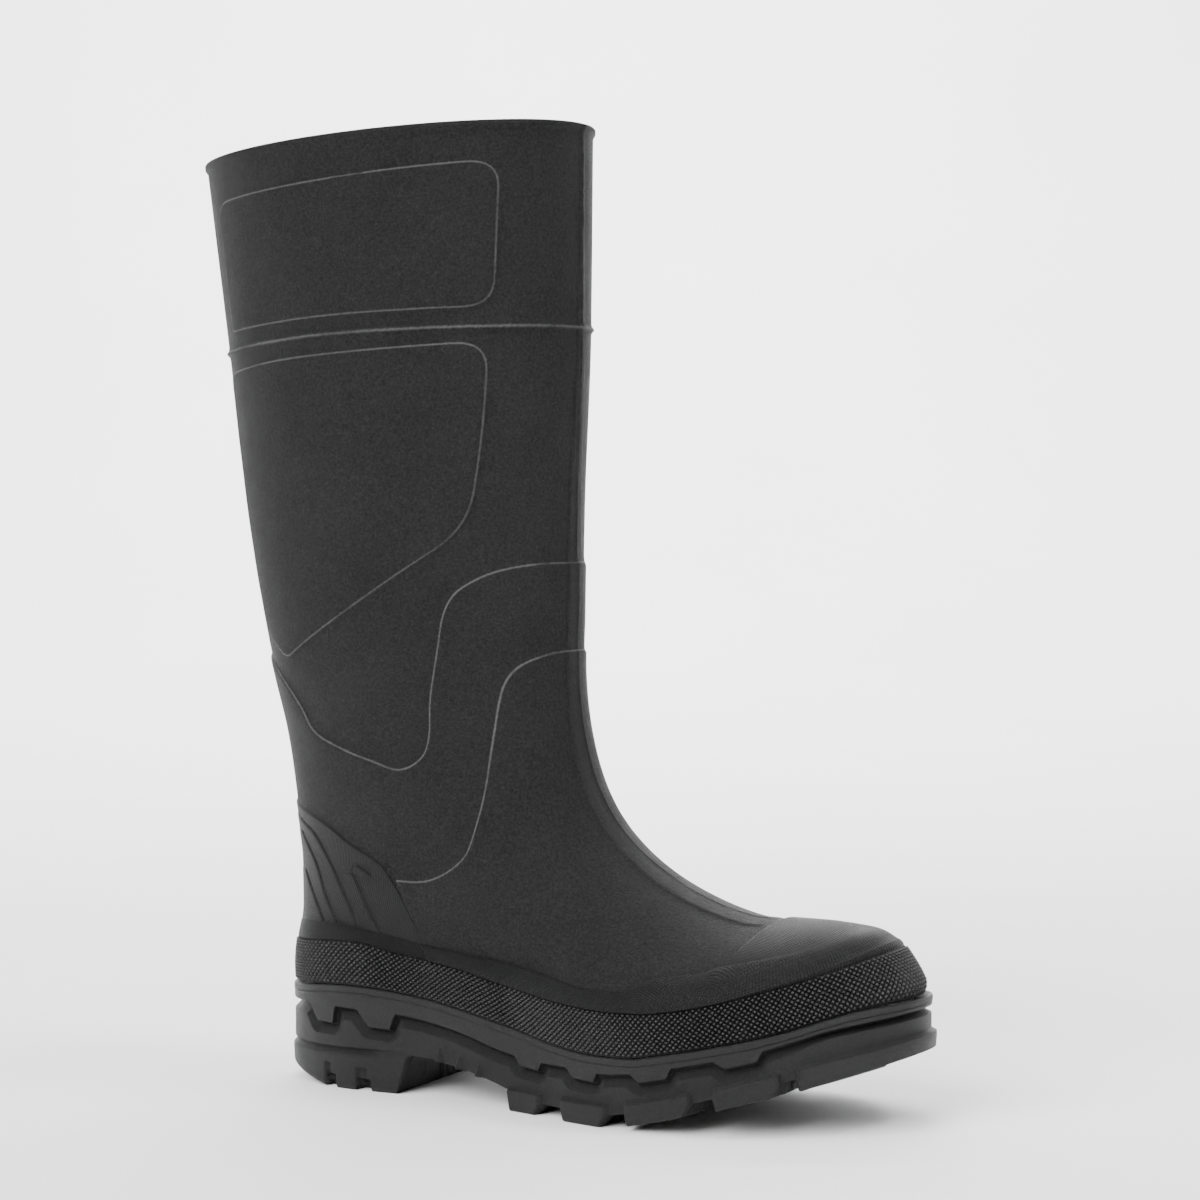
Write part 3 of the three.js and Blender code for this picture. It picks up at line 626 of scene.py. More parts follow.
def plate_rows(count):
    """Shares of a plate's height for its rows, close together at its two edges."""
    return np.concatenate([[0, 0.01], np.linspace(0.03, 0.97, count), [0.99, 1]])


def make_toe_guard():
    """Border strip round the foot that opens into the overlay on the toe."""
    angles, around = even_angles(1.2, 560)
    fine = np.linspace(1.0, 6.0, 1001)
    grid, _ = upper_points(fine, angles)
    edge = guard_rear(grid[..., 2]) + noise_line((grid[..., 1] + 90) * 0.5, 21, 0.15)
    high = level_where(fine, grid, lambda x, z: (x < edge) & (z > border_high(x)))
    t = plate_rows(76)
    points, _ = column_points(np.full(len(angles), 0.97), high, angles, t)
    points = relax_toe(points)
    normals = grid_normals(points)
    proud = 1.15 * ease(t, 0, 0.02) * fall(t, 0.975, 1.0)
    toe = ease(points[..., 0], 108, 132)
    outer = points + normals * (proud[:, None] + upper_relief(points) + toe - 0.1)[..., None]
    under = points - normals * 0.9
    spacing = steps(points).mean(axis=1)
    return ring_solid("toe_guard_skin", [under[0], *outer, under[-1]],
                      np.linspace(0, around, len(angles) + 1),
                      np.array([0, *running(spacing), spacing.sum()]))


COUNTER_BASE, COUNTER_HEIGHT = 0.85, 0.95
FIN_STEP, FIN_REACH = 0.22, 5
GROOVE_DEPTH, GROOVE_WIDTH = 0.42, 0.55


def make_counter():
    """Heel counter overlay with slanting fins, each a step with a groove along it."""
    angles, _ = even_angles(2.5, 900)
    grid, _ = upper_points([2.0], angles)
    angles = angles[grid[0, :, 0] < -61.5]
    fine = np.linspace(1.6, 10.5, 1400)
    grid, _ = upper_points(fine, angles)
    # Far corners close the outlines below and behind.
    outline = np.concatenate([COUNTER_LINE, [(-61, -50), (-300, -50), (-300, 127)]])
    low = level_where(fine, grid, lambda x, z: z > border_high(x) - 0.6)
    high = level_where(fine, grid, lambda x, z: ~inside(x, z, outline))
    high = np.maximum(high, low + 0.01)
    points, normals = column_points(low, high, angles, plate_rows(84))
    x, z = points[..., 0], points[..., 2]
    proud = COUNTER_HEIGHT * ease(line_distance(x, z, COUNTER_LINE), 0.0, 1.2)
    for fin in FINS:
        distance = line_distance(x, z, fin)
        behind = np.concatenate([fin, [(fin[-1][0], -50), (-400, -50), (-400, fin[0][1])]])
        side = np.where(inside(x, z, behind), 1, -1)
        groove = GROOVE_DEPTH * np.exp(-(distance / GROOVE_WIDTH) ** 2)
        proud += FIN_STEP * side * np.exp(-distance / FIN_REACH) - groove
    outer = points + normals * (proud + COUNTER_BASE)[..., None]
    return plate_solid("heel_counter_skin", outer, points - normals * 0.8,
                       running(steps(points[10])) + 0 * x, z - 60)


def squared(values, power):
    """Bends a sine towards a square wave."""
    return np.sign(values) * np.abs(values) ** power


def make_footbed():
    """Cloth-covered foam footbed with a raised heel cup and arch."""
    floor = smooth_curve([
        (-150, 31.7), (-80, 32.1), (-62, 33), (-43, 31), (-32, 28), (-20, 25), (-5, 23.4), (20, 23.2),
        (35, 24.2), (53, 26.6), (70, 29.6), (85, 33.2), (100, 38), (120, 44.7), (150, 51.2)])
    back, front = -129.8, 121.0
    count, loop = 150, 64
    # The sections crowd together at the two ends, and stop just short of them.
    c = -np.cos(PI * np.arange(count) / (count - 1))[:, None] * 0.9997
    x = mix(back, front, (c + 1) / 2)
    width = 0.773 * sole_half(c) * (1 - 0.065 * fall(x, 12, 50))
    theta = np.linspace(0, 2 * PI, loop, endpoint=False)
    across, lift = squared(np.cos(theta), 0.62), squared(np.sin(theta), 0.55)
    y = sole_centre(x) + np.maximum(width, 0.6) * across
    cup = 3.2 * fall(x, -110, -20) * np.abs(across) ** 4
    arch = 2.2 * np.exp(-((x + 25) / 35) ** 2) * np.clip(across, 0, 1) ** 3
    height = 5.0 - 0.5 * ease(x, 60, 120)
    z = floor(x) + 0.25 + height * (0.5 + 0.5 * lift) + (cup + arch) * (lift > 0)
    sides = cells(count, loop)[:-1, :, [0, 3, 2, 1]].reshape(-1, 4)
    ends = [list(range(loop)), list(range((count - 1) * loop, count * loop))[::-1]]
    return new_mesh("footbed_pad", np.stack([x + 0 * y, y, z], -1), sides.tolist() + ends)


# ---------------------------------------------------------------- sole
arch_root = smooth_curve([
    (-78, 17), (-70, 17), (-58, 16.6), (-47, 15), (-36, 13.1), (-21, 9), (-12, 6), (0, 4.9)])
wall_foot = smooth_curve([
    (-146, 34.5), (-122, 35), (-96, 34.6), (-77, 33.7), (-48, 30.1), (-17.6, 22.9), (-3, 21.4),
    (11, 21.6), (26.5, 21), (42, 22.5), (60, 26.1), (78, 30), (96, 34.6), (108, 38.6), (119, 42.2),
    (142, 46.6)])
# Teeth that hang from the midsole wall: rear slope start, rear edge, front edge, front slope end, depth.
TEETH = [
    (-122, -117, -108.4, -107.4, 7.2), (-95.7, -89.8, -79.8, -77.4, 6.9), (-16.5, -13.9, -4, -2.6, 3.4),
    (11, 14.6, 25.2, 26.8, 3.6), (42.5, 47, 58.6, 60.6, 3.8), (77.5, 82, 94.2, 96, 3.7)]
# Lugs along the edge of the sole: rear and front.
LUGS = [(-19.7, -2), (8.9, 32.3), (40.4, 69), (77.4, 102.4), (108.3, 190)]
GAP_DEPTH = 4.8
LUG_FACE = 10.2
LUG_PROUD = 2.2
HEEL_FRONT, BREAST_LEAN = -71.5, 5.5
# Stepped notches in the side of the heel: rear, front of the upper part and of the lower part, the
# height of the lower part, and the top.
HEEL_NOTCHES = ((-113.4, -110.1, -107.5, 5.1, 10.4), (-96.4, -91.3, -88.8, 4.6, 9.6))
FINS_UNDER = (-55.2, -44.7, -34.6)


def tread(x):
    """Height of the lugs' faces, which rises towards the toe."""
    return np.where(x > 30, 30 * (np.maximum(x - 30, 0) / 115) ** 1.2, 0)


def heel_base(x):
    """Height of the heel's face, which lifts behind."""
    return 0.23 * np.maximum(-112 - x, 0)


def root_height(x):
    """Height from which the heel and the lugs hang."""
    return np.where(x < HEEL_FRONT, 17.0, np.where(x < 0, arch_root(x), tread(x) + GAP_DEPTH))


def toothed(x):
    """Lower edge of the midsole wall."""
    z = wall_foot(x)
    for start, rear, front, end, depth in TEETH:
        z = z - depth * np.clip(np.minimum((x - start) / (rear - start), (end - x) / (end - front)), 0, 1)
    return z


def band(x, low, high, soft):
    """1 between two places and 0 outside them, with soft edges."""
    return ease(x, low - soft, low + soft) * fall(x, high - soft, high + soft)


def below_teeth(x, reach):
    """The line that runs a set distance below the toothed edge, all round its corners."""
    best = toothed(x) - reach
    for step in np.linspace(-reach, reach, 25):
        best = np.minimum(best, toothed(x + step) - math.sqrt(max(reach**2 - step**2, 0)))
    return best


def lug_share(x):
    """1 on the columns that carry a lug or the heel, 0 between them."""
    share = (x < HEEL_FRONT) * 1.0
    for rear, front in LUGS:
        share = np.maximum(share, ((x > rear) & (x < front)) * 1.0)
    return share


def face_bulge(x, z):
    """How far the lug faces and the fins stand out of the outsole wall."""
    bulge = np.zeros(np.broadcast(x, z).shape)
    top = tread(x) + LUG_FACE - 1.6 * ease(x, 115, 142)
    for rear, front in LUGS:
        across = band(x, rear + 0.4, front - 0.4, 0.5)
        bulge = np.maximum(bulge, LUG_PROUD * across * fall(z, top - 1.9, top - 0.1))
    bulge = bulge - 0.9 * ease(x, 106, 118) * np.exp(-((z - top - 0.9) / 0.8) ** 2)
    for at in FINS_UNDER:
        climb = np.clip(1 - (z - root_height(x)) / 6.0, 0, 1)
        bulge = np.maximum(bulge, 2.9 * np.clip(climb - np.abs(x - at - 0.4) / 2.4, 0, 1))
    return bulge


def heel_cuts(x, z):
    """Depth of the shadow groove and of the stepped notches in the side of the heel."""
    rear_part = fall(x, -95, -79)
    line = 17.8 + 0.01 * (x + 100)
    groove = np.clip(np.minimum((line + 0.4 - z) / 0.7, (z - line + 3.0) / 2.3), 0, 1)
    cut = (0.25 + 2.0 * rear_part) * groove * (x < HEEL_FRONT + 1)
    for rear, upper_front, lower_front, step, top in HEEL_NOTCHES:
        cut = np.maximum(cut, 1.3 * ((x > rear) & (x < upper_front) & (z < top)))
        cut = np.maximum(cut, 6.0 * ((x > rear) & (x < lower_front) & (z < step)))
    return cut


def under_height(x, y):
    """Height of the underside: lugs, heel block and the channels between them."""
    away = np.abs(y - sole_centre(x))
    # The heel block has three bent channels, one lengthwise channel and its notches.
    dig = fall(away, 1.6, 2.4) * band(x, -136.5, -83.5, 0.5)
    for at in (-128.0, -112.0, -96.0):
        across = fall(np.abs(x - at - 0.08 * away), 1.8, 2.6)
        dig = np.maximum(dig, across * fall(away, 20, 21))
    for rear, _, front, _, _ in HEEL_NOTCHES:
        dig = np.maximum(dig, band(x, rear, front, 0.3) * ease(away, 29.5, 30.5))
    heel_floor = heel_base(x) + 4.6 * dig
    # The front has lugs along both edges and bent bars in the middle.
    lug = np.zeros_like(x)
    for rear, front in LUGS:
        side = ease(x - rear - 0.14 * (45 - away), -0.4, 0.4) * fall(x, front - 0.4, front + 0.4)
        lug = np.maximum(lug, side * ease(away, 21, 22))
    for rear in (-12.0, 10.0, 32.0, 54.0, 76.0, 98.0, 116.0):
        bar = band(x - 0.42 * (16 - away), rear, rear + 13, 0.4)
        lug = np.maximum(lug, bar * fall(away, 15.5, 16.3))
    ribs = np.max([np.clip(1 - np.abs(x - at) / 2.8, 0, 1) for at in FINS_UNDER], axis=0)
    front_floor = mix(root_height(x), tread(x), lug * ease(x, -20, -18)) - 2.6 * ribs
    breast = HEEL_FRONT - BREAST_LEAN
    return mix(front_floor, heel_floor, fall(x, breast - 0.5, breast + 0.5))


def sole_columns(count):
    """Evenly spaced points round the outline of the sole, with outward directions."""
    fine = np.linspace(0, 2 * PI, 8001)
    x = SOLE_HALF_LENGTH * np.cos(fine)
    y = sole_centre(x) + sole_half(np.cos(fine)) * np.where(np.sin(fine) >= 0, 1, -1)
    length = running(np.hypot(np.diff(x), np.diff(y)))
    total = length[-1]
    reach = 1.2  # the direction at a point comes from its neighbours this far away

    def at(s):
        s = np.mod(s, total)
        px, py = np.interp(s, length, x), np.interp(s, length, y)
        before, after = np.mod(s - reach, total), np.mod(s + reach, total)
        tx = np.interp(after, length, x) - np.interp(before, length, x)
        ty = np.interp(after, length, y) - np.interp(before, length, y)
        size = np.hypot(tx, ty)
        return px, py, ty / size, -tx / size
    return at, np.arange(count) / count * total


def wall_inset(x):
    """How far the sole's wall stands back from its outline, at the toe and at the heel."""
    return 0.4 + 2.2 * ease(x, 105, 140) + 0.9 * ease(-x, 118, 142)


def soft_bumps(x, z, seed, size):
    """Slight unevenness of a moulded wall, the sum of a few random waves."""
    rng = np.random.default_rng(seed)
    waves = 7
    total = 0
    for _ in range(waves):
        a, b, c = rng.uniform(0.08, 0.5), rng.uniform(0.1, 0.7), rng.uniform(0, 6.3)
        total = total + np.sin(a * x + b * z + c)
    return size * total / waves


def make_midsole():
    """The second shot: a rounded bead, a ragged mould line and a wall with teeth."""
    at, s = sole_columns(SOLE_COLUMNS)
    x, y, nx, ny = at(s)
    base, top, edge = wall_inset(x), rand_low(x), toothed(x)
    rows = []

    def add(inset, z):
        rows.append(np.stack([x - nx * inset, y - ny * inset, z + 0 * x], -1))
    for inset, lift in ((9.0, -1.5), (4.0, 0.1), (base + 1.3, 0.15), (base + 0.5, 0.05), (base + 0.1, -0.35)):
        add(inset, top + lift)
    flash = np.clip(noise_line(s * 0.55, 31, 1.0), 0, 1) ** 3
    bead = top - np.minimum(2.7, (top - edge) * 0.5)
    for t in (0.25, 0.5, 0.75, 0.9):
        add(base + 0.02 * t, mix(top, bead, t))
    add(base - 0.35 * flash, bead - 0.05)
    add(base + 0.55 - 0.5 * flash, bead - 0.3)
    start = bead - 0.65
    add(base + 0.25, start)
    for t in np.linspace(0, 1, 16)[1:]:
        z = mix(start, edge + 0.35, t)
        add(base + 0.22 + soft_bumps(x, z, 4, 0.07), z)
    for inset, lift in ((0.35, 0.12), (0.8, 0.0), (2.4, 0.05)):
        add(base + inset, edge + lift)
    add(base + 3.7, below_teeth(x, 0.2))
    add(base + 3.7, below_teeth(x, 1.9))
    add(10.0, edge - 1.5)
    return ring_solid("midsole_shell", rows, flip_faces=True)


# The ledge under the teeth: how far below them each ring lies, and how far in. It is flatter at the toe.
LEDGE = ((1.9, 3.4), (2.7, 2.75), (3.5, 2.05), (4.2, 1.35), (4.6, 0.95), (5.0, 0.6))
UNDERSIDE_RINGS = 56


def end_slopes(x):
    """How far the heel's breast and the ends of the lugs slope along the outline."""
    lean = np.where(x < HEEL_FRONT, -BREAST_LEAN * ease(x, -92, HEEL_FRONT), 0)
    for rear, front in LUGS:
        slope = fall(x, rear, rear + 6) - 3.0 * ease(x, front - 8, front)
        lean = lean + slope * (x > rear) * (x < front)
    return lean


def make_outsole():
    """The third shot: a wall that follows the teeth, the heel and the lugs, and the underside."""
    at, s = sole_columns(SOLE_COLUMNS)
    x = at(s)[0]
    direction = np.where(np.gradient(x) >= 0, 1.0, -1.0)
    base, root, share = wall_inset(x), root_height(x), lug_share(x)
    rows = []

    def add(inset, z, shift=0.0):
        px, py, mx, my = at(s + direction * shift)
        rows.append(np.stack([px - mx * inset, py - my * inset, z + 0 * x], -1))
    add(10.0, below_teeth(x, 1.7))
    add(base + 3.6, below_teeth(x, 1.5))
    toe = ease(x, 96, 122)
    for reach, inset in LEDGE:
        near = 1.7 + 0.42 * (reach - 1.9)
        add(base + inset, mix(below_teeth(x, reach), below_teeth(x, near), toe))
    start = mix(below_teeth(x, 5.0), below_teeth(x, 3.0), toe)
    heel = x < HEEL_FRONT
    bumper = 0.9 * ease(-x, 122, 140)

    def face(z):
        return base + 0.5 - face_bulge(x, z) + soft_bumps(x, z, 8, 0.07)
    for t in np.linspace(0, 1, 34)[1:]:
        z = mix(start, root, t)
        add(face(z) + heel_cuts(x, z) * (z < 19) - bumper * (z < 17), z)
    depth = np.where(share > 0, root - np.where(heel, heel_base(x), tread(x)), GAP_DEPTH)
    lean = end_slopes(x)
    for t in np.concatenate([np.linspace(0, 0.94, 17)[1:], [0.975, 0.995]]):
        z = root - depth * t
        rounding = 0.9 * ease(t, 0.9, 1.0) + 0.5 * t
        hanging = face(z) + heel_cuts(x, z) - bumper * heel + rounding
        add(np.where(share > 0, hanging, base + 0.5 + depth * t), np.where(share > 0, z, root),
            lean * t * share)
    last = rows[-1]
    target = np.stack([x * 0.7, sole_centre(x * 0.7)], -1)
    for f in (np.arange(1, UNDERSIDE_RINGS + 1) / UNDERSIDE_RINGS) ** 1.08:
        plan = mix(last[:, :2], target, f)
        rows.append(np.column_stack([plan, under_height(plan[:, 0], plan[:, 1])]))
    return ring_solid("outsole_shell", rows, flip_faces=True)


# ---------------------------------------------------------------- materials
class Nodes:
    """A short way to write a node material."""

    def __init__(self, name):
        self.material = bpy.data.materials.new(name)
        self.material.use_nodes = True
        self.tree = self.material.node_tree
        self.shader = self.tree.nodes["Principled BSDF"]
        self.coords = self.tree.nodes.new("ShaderNodeTexCoord").outputs

    def fill(self, node, values):
        """Sets inputs of a node, each to a number or to what another node gives."""
        for name, value in values.items():
            if isinstance(value, bpy.types.NodeSocket):
                self.tree.links.new(value, node.inputs[name])
            else:
                node.inputs[name].default_value = value

    def add(self, kind, values):
        node = self.tree.nodes.new("ShaderNode" + kind)
        self.fill(node, values)
        return node

    def finish(self, colour, roughness, normal, **others):
        """Connects the shader and returns the material."""
        self.fill(self.shader, {"Base Color": colour, "Roughness": roughness, "Normal": normal, **others})
        return self.material

    def noise(self, scale, detail=2.0, rough=0.5, distort=0.0):
        node = self.add("TexNoise", {"Vector": self.coords["Object"], "Scale": scale, "Detail": detail,
                                     "Roughness": rough, "Distortion": distort})
        return node.outputs["Fac"]

    def voronoi(self, scale):
        return self.add("TexVoronoi", {"Vector": self.coords["Object"], "Scale": scale}).outputs["Distance"]

    def math(self, kind, *values):
        node = self.add("Math", dict(enumerate(values)))
        node.operation = kind
        return node.outputs[0]

    def total(self, first, first_share, second, second_share):
        """The sum of two values, each times its share."""
        return self.math("ADD", self.math("MULTIPLY", first, first_share),
                         self.math("MULTIPLY", second, second_share))

    def split(self, coords):
        return self.add("SeparateXYZ", {0: self.coords[coords]}).outputs

    def ramp(self, fac, stops):
        node = self.add("ValToRGB", {"Fac": fac})
        while len(node.color_ramp.elements) < len(stops):
            node.color_ramp.elements.new(0.5)
        for element, (place, colour) in zip(node.color_ramp.elements, stops):
            element.position = place
            element.color = (*colour, 1)
        return node.outputs["Color"]

    def range(self, fac, low, high):
        return self.add("MapRange", {"Value": fac, "To Min": low, "To Max": high}).outputs["Result"]

    def step(self, value, low, high):
        node = self.add("MapRange", {"Value": value, "From Min": low, "From Max": high})
        node.interpolation_type = "SMOOTHSTEP"
        return node.outputs["Result"]

    def bump(self, height, strength, distance, normal=None):
        node = self.add("Bump", {"Height": height, "Strength": strength, "Distance": distance})
        if normal is not None:
            self.fill(node, {"Normal": normal})
        return node.outputs["Normal"]

    def number(self, name):
        node = self.add("Attribute", {})
        node.attribute_name = name
        return node.outputs["Fac"]

    def lattice(self, pitch_u, pitch_v):
        """Small pyramids in rows, from the UV map in metres."""
        places = self.split("UV")
        u = self.math("DIVIDE", places[0], pitch_u)
        v = self.math("DIVIDE", places[1], pitch_v)
        waves = []
        for value in (self.math("ADD", u, v), self.math("SUBTRACT", u, v)):
            part = self.math("SUBTRACT", self.math("FRACT", value), 0.5)
            waves.append(self.math("SUBTRACT", 1.0, self.math("MULTIPLY", self.math("ABSOLUTE", part), 2.0)))
        return self.math("MINIMUM", *waves)


def rubber(name, dark, light, rough_low, rough_high, grain=0.5, knurl=None, gloss=0.19, painted_highlight=None,
           edges=False):
    """Moulded black rubber: fine grain, faint flow marks, an uneven sheen, and a painted highlight: a lighter
    colour on the edges and tips that a kept mask marks.
    """
    n = Nodes(name)
    speck = n.noise(900, 5, 0.9)
    tone = n.total(n.noise(22, 5, 0.6, 0.4), 0.12, speck, 0.88)
    # The kept mask of painted highlight: a lighter colour on raised edges and tips, where highlights fall.
    painted_highlight_mask = n.number("painted_highlight")
    normal = n.bump(n.noise(140, 4, 0.6), 0.25, 0.0006)
    normal = n.bump(n.noise(800, 5, 0.85), grain, 0.0014, normal)
    if edges:
        # The steps of the panels and the rib under the cuff, from the distances kept at each point.
        *borders, cuff = (n.number(edge) for edge in EDGES)
        first, second, third = (n.step(border, -0.45, 0.45) for border in borders)
        normal = n.bump(n.math("ADD", n.math("ADD", first, second), third), 1.0, 0.0007, normal)
        rib = n.math("MULTIPLY", n.step(cuff, -1.2, 0.1), n.step(cuff, 1.2, -0.1))
        normal = n.bump(rib, 1.0, 0.0006, normal)
        # Painted highlight: thin lighter lines along the panel steps and along the rib, broken into patches.
        for border in borders:
            line = n.math("MULTIPLY", n.step(border, -0.7, 0.0), n.step(border, 0.8, 0.0))
            painted_highlight_mask = n.math("MAXIMUM", painted_highlight_mask, line)
        painted_highlight_mask = n.math("MAXIMUM", painted_highlight_mask, rib)
        painted_highlight_mask = n.math("MULTIPLY", painted_highlight_mask, n.step(n.noise(60, 3), 0.05, 0.5))
    stops = [(0.37, dark), (0.63, light)]
    # The mask lifts the colour towards the last, lightest stop: painted highlight.
    if painted_highlight:
        tone = n.math("ADD", tone, n.math("MULTIPLY", painted_highlight_mask, 0.4))
        stops.append((0.95, painted_highlight))
    if knurl:
        pitch_u, pitch_v, deep = knurl
        normal = n.bump(n.lattice(pitch_u, pitch_v), 1.0, deep, normal)
    sheen = n.total(n.noise(55, 4, 0.55), 0.65, speck, 0.35)
    return n.finish(n.ramp(tone, stops), n.range(sheen, rough_low, rough_high), normal,
                    **{"Specular IOR Level": gloss})


def knit(name, dark, light):
    """Fine nylon jersey: rows of small loops with fuzz."""
    wale_width, course_height = 0.0012, 0.0009
    n = Nodes(name)
    places = n.split("UV")
    wale = n.math("SINE", n.math("MULTIPLY", places[0], 2 * PI / wale_width))
    course = n.math("SINE", n.total(places[1], 2 * PI / course_height, n.math("ABSOLUTE", wale), 2.2))
    half_wale, half_course = (n.math("ADD", n.math("MULTIPLY", wave, 0.5), 0.5) for wave in (wale, course))
    loops = n.math("MULTIPLY", half_wale, half_course)
    fuzz = n.noise(3200, 3, 0.7)
    tone = n.total(loops, 0.6, n.noise(40, 4), 0.5)
    normal = n.bump(fuzz, 0.4, 0.0002, n.bump(loops, 0.9, 0.0004))
    return n.finish(n.ramp(tone, [(0.15, dark), (0.85, light)]), n.range(fuzz, 0.82, 0.98), normal,
                    **{"Sheen Weight": 0.35})


def brushed_cloth(name, dark, light):
    """Brushed cover cloth of the footbed, with a woven ground."""
    thread = 0.0011
    n = Nodes(name)
    places = n.split("Object")
    warp, weft = (n.math("SINE", n.math("MULTIPLY", places[k], 2 * PI / thread)) for k in (0, 1))
    weave = n.math("MULTIPLY", warp, weft)
    nap = n.noise(2100, 4, 0.75, 0.6)
    tone = n.total(nap, 0.6, n.noise(35, 4), 0.4)
    normal = n.bump(n.math("ADD", n.math("MULTIPLY", weave, 0.3), nap), 0.7, 0.0003)
    return n.finish(n.ramp(tone, [(0.3, dark), (0.7, light)]), n.range(nap, 0.85, 0.99), normal,
                    **{"Sheen Weight": 0.3})


def metal(name, dark, light, rough, line_scale):
    """Drawn steel with fine lines and a faint cloud."""
    n = Nodes(name)
    return n.finish(n.ramp(n.noise(90, 5, 0.65, 0.3), [(0.3, dark), (0.7, light)]),
                    n.range(n.noise(line_scale, 4, 0.6), rough - 0.08, rough + 0.12),
                    n.bump(n.noise(line_scale, 3, 0.6), 0.3, 0.0001), Metallic=1.0)


def filler(name, dark, light, scale, rough):
    """Heel filler, fibre board or soft strip: mottled, with small pits."""
    n = Nodes(name)
    tone = n.noise(scale, 6, 0.7)
    return n.finish(n.ramp(tone, [(0.3, dark), (0.7, light)]), n.range(tone, rough - 0.06, rough + 0.06),
                    n.bump(n.voronoi(scale * 3), 0.5, 0.0003))


# A rubber's knurl is its two pitches and its depth, in metres.
# The upper's and the rand's colours given last are painted highlight, for their edges, rib and pyramid tips.
UPPER = rubber("upper_rubber", (0.006, 0.006, 0.0062), (0.029, 0.029, 0.0295), 0.42, 0.64, grain=1.0,
               gloss=0.09, painted_highlight=(0.105, 0.105, 0.107), edges=True)
RAND = rubber("rand_rubber", (0.001, 0.001, 0.001), (0.004, 0.004, 0.0042), 0.26, 0.38, gloss=0.24,
              painted_highlight=(0.055, 0.055, 0.056))
GUARD = rubber("guard_rubber", (0.006, 0.006, 0.0063), (0.015, 0.015, 0.0154), 0.42, 0.56, gloss=0.14,
               knurl=(0.0014, 0.0014, 0.0006))
COUNTER = rubber("counter_rubber", (0.005, 0.005, 0.0053), (0.0125, 0.0125, 0.0129), 0.43, 0.56,
                 knurl=(0.0012, 0.0012, 0.0004))
MIDSOLE = rubber("midsole_rubber", (0.006, 0.006, 0.0062), (0.0155, 0.0155, 0.0158), 0.34, 0.48, grain=0.7,
                 gloss=0.24)
OUTSOLE = rubber("outsole_rubber", (0.006, 0.006, 0.0062), (0.0155, 0.0155, 0.0158), 0.36, 0.52, grain=0.8,
                 gloss=0.24)
KNIT = knit("lining_knit", (0.03, 0.031, 0.034), (0.085, 0.087, 0.092))
CLOTH = brushed_cloth("footbed_cloth", (0.022, 0.023, 0.026), (0.05, 0.052, 0.058))
SHANK = metal("shank_steel", (0.45, 0.46, 0.47), (0.62, 0.63, 0.64), 0.32, 700)
CAP = metal("toe_cap_steel", (0.3, 0.31, 0.32), (0.45, 0.46, 0.47), 0.42, 500)
CORE = filler("heel_core_filler", (0.12, 0.1, 0.08), (0.2, 0.17, 0.13), 400, 0.85)
BOARD = filler("board_fibre", (0.27, 0.21, 0.14), (0.4, 0.33, 0.23), 300, 0.88)
STRIP = filler("edge_strip", (0.04, 0.04, 0.042), (0.06, 0.06, 0.062), 500, 0.6)


def paint(obj, material):
    obj.data.materials.clear()
    obj.data.materials.append(material)


WELD_GAP, FLAT_ANGLE = 0.00002, math.radians(1.5)


def finish_cad(node, material):
    """A CAD solid that stays: its facets are tidied and its shading smoothed."""
    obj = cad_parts[node]
    paint(obj, material)
    weld = obj.modifiers.new("weld", "WELD")
    weld.merge_threshold = WELD_GAP
    flat = obj.modifiers.new("flat", "DECIMATE")
    flat.decimate_type = "DISSOLVE"
    flat.angle_limit = FLAT_ANGLE
    obj.data.shade_smooth()


upper = make_upper()
paint(upper, UPPER)
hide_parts("upper_leg", "upper_foot", "collar_bead", "cuff_rib")
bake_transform(upper)

lining = make_lining()
paint(lining, KNIT)
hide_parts("lining_leg", "lining_foot")
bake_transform(lining)

rand = make_rand()
paint(rand, RAND)
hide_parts("rand_band")
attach(rand, "foot")

guard = make_toe_guard()
paint(guard, GUARD)
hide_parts("toe_guard")
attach(guard, "foot")

counter = make_counter()
paint(counter, COUNTER)
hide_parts("heel_counter")
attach(counter, "foot")

footbed = make_footbed()
paint(footbed, CLOTH)
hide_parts("footbed_foam", "footbed_cover")
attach(footbed, "footbed")

midsole = make_midsole()
paint(midsole, MIDSOLE)
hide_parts("midsole")
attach(midsole, "foot")

outsole = make_outsole()
paint(outsole, OUTSOLE)
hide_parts("outsole")
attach(outsole, "foot")

finish_cad("heel_core", CORE)
finish_cad("steel_shank", SHANK)
finish_cad("steel_toe_cap", CAP)
finish_cad("toe_cap_edge_strip", STRIP)
finish_cad("insole_board", BOARD)


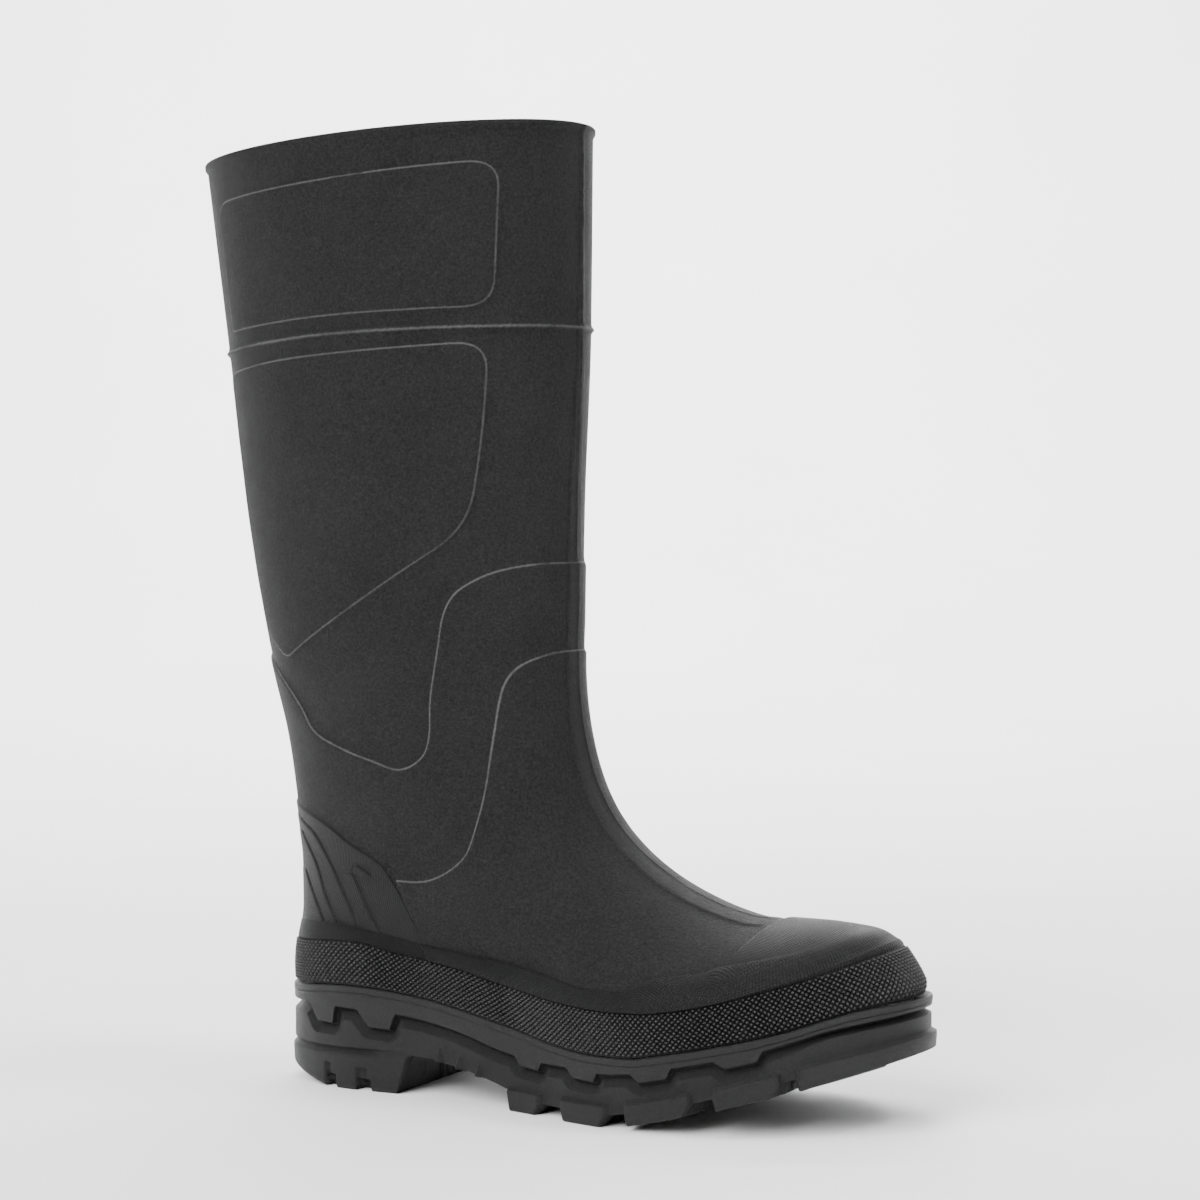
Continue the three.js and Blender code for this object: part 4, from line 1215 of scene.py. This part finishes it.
# ---------------------------------------------------------------- floor, light and camera
def make_floor():
    """A pale floor that turns up into a wall far behind."""
    flat, turn, wide, tall = 2.2, 1.6, 6, 6
    arc = [(flat + turn * math.sin(a), turn - turn * math.cos(a)) for a in np.linspace(0, PI / 2, 16)]
    profile = [(-4, 0)] + arc + [(flat + turn, tall)]
    points = [(side, d, z) for d, z in profile for side in (-wide, wide)]
    faces = [(a, a + 1, a + 3, a + 2) for a in range(0, len(points) - 2, 2)]
    mesh = bpy.data.meshes.new("floor")
    mesh.from_pydata(points, [], faces)
    mesh.shade_smooth()
    floor = add_object("floor", mesh)
    floor.rotation_euler = (0, 0, math.radians(28))
    n = Nodes("pale_floor")
    stops = [(0.3, (0.86, 0.86, 0.86)), (0.7, (0.9, 0.9, 0.9))]
    n.fill(n.shader, {"Base Color": n.ramp(n.noise(3, 3), stops), "Roughness": 0.9,
                      "Specular IOR Level": 0.2})
    paint(floor, n.material)


def face_along(obj, direction):
    obj.rotation_euler = Vector(direction).to_track_quat("-Z", "Y").to_euler()


def make_light(name, place, target, size, power, tall=None):
    """A soft box, in metres and watts, that faces a target."""
    data = bpy.data.lights.new(name, "AREA")
    data.energy = power
    data.size = size
    if tall:
        data.shape = "RECTANGLE"
        data.size_y = tall
    light = add_object(name, data)
    light.location = place
    face_along(light, Vector(target) - Vector(place))


def make_sun(direction, strength, spread):
    """A broad, distant light, its spread in degrees."""
    data = bpy.data.lights.new("sun", "SUN")
    data.energy = strength
    data.angle = math.radians(spread)
    face_along(add_object("sun", data), direction)


def make_camera():
    """The camera that was fitted to the outline of the boot in the photo."""
    data = bpy.data.cameras.new("camera")
    camera = add_object("camera", data)
    data.sensor_width = 36
    data.lens = 88.84
    data.clip_start = 0.01
    place = Vector((0.5697 + SHIFT_X, -1.0952, 0.2525))
    aim = Vector((0.0007 + SHIFT_X, 0.0004, 0.2083))
    camera.location = place
    face_along(camera, aim - place)
    bpy.context.scene.camera = camera


def make_world(strength):
    """A faint even light from all round."""
    world = bpy.data.worlds.new("studio")
    world.use_nodes = True
    background = world.node_tree.nodes["Background"]
    background.inputs["Color"].default_value = (1, 1, 1, 1)
    background.inputs["Strength"].default_value = strength
    bpy.context.scene.world = world


make_floor()
make_sun((0.35, 1.0, -0.85), 5.0, 45)
# The other lights: place, target, size and power, and the height of the tall one.
make_light("top", (-0.1, 0.1, 1.9), (0, 0, 0.2), 1.2, 26)
make_light("key", (-0.2, -2.0, 0.9), (0, 0, 0.2), 0.9, 20)
make_light("side", (1.6, 0.5, 0.9), (0, 0, 0.25), 0.25, 4, 0.9)
make_light("toe", (1.0, 0.2, 1.4), (0.1, 0, 0.1), 0.45, 12)
make_light("back", (-0.7, 1.4, 0.9), (0, 0, 0.25), 0.8, 4)
make_light("backdrop", (-0.9, 1.7, 2.6), (-1.8, 3.4, 0.6), 2.0, 230)
make_world(0.15)
make_camera()
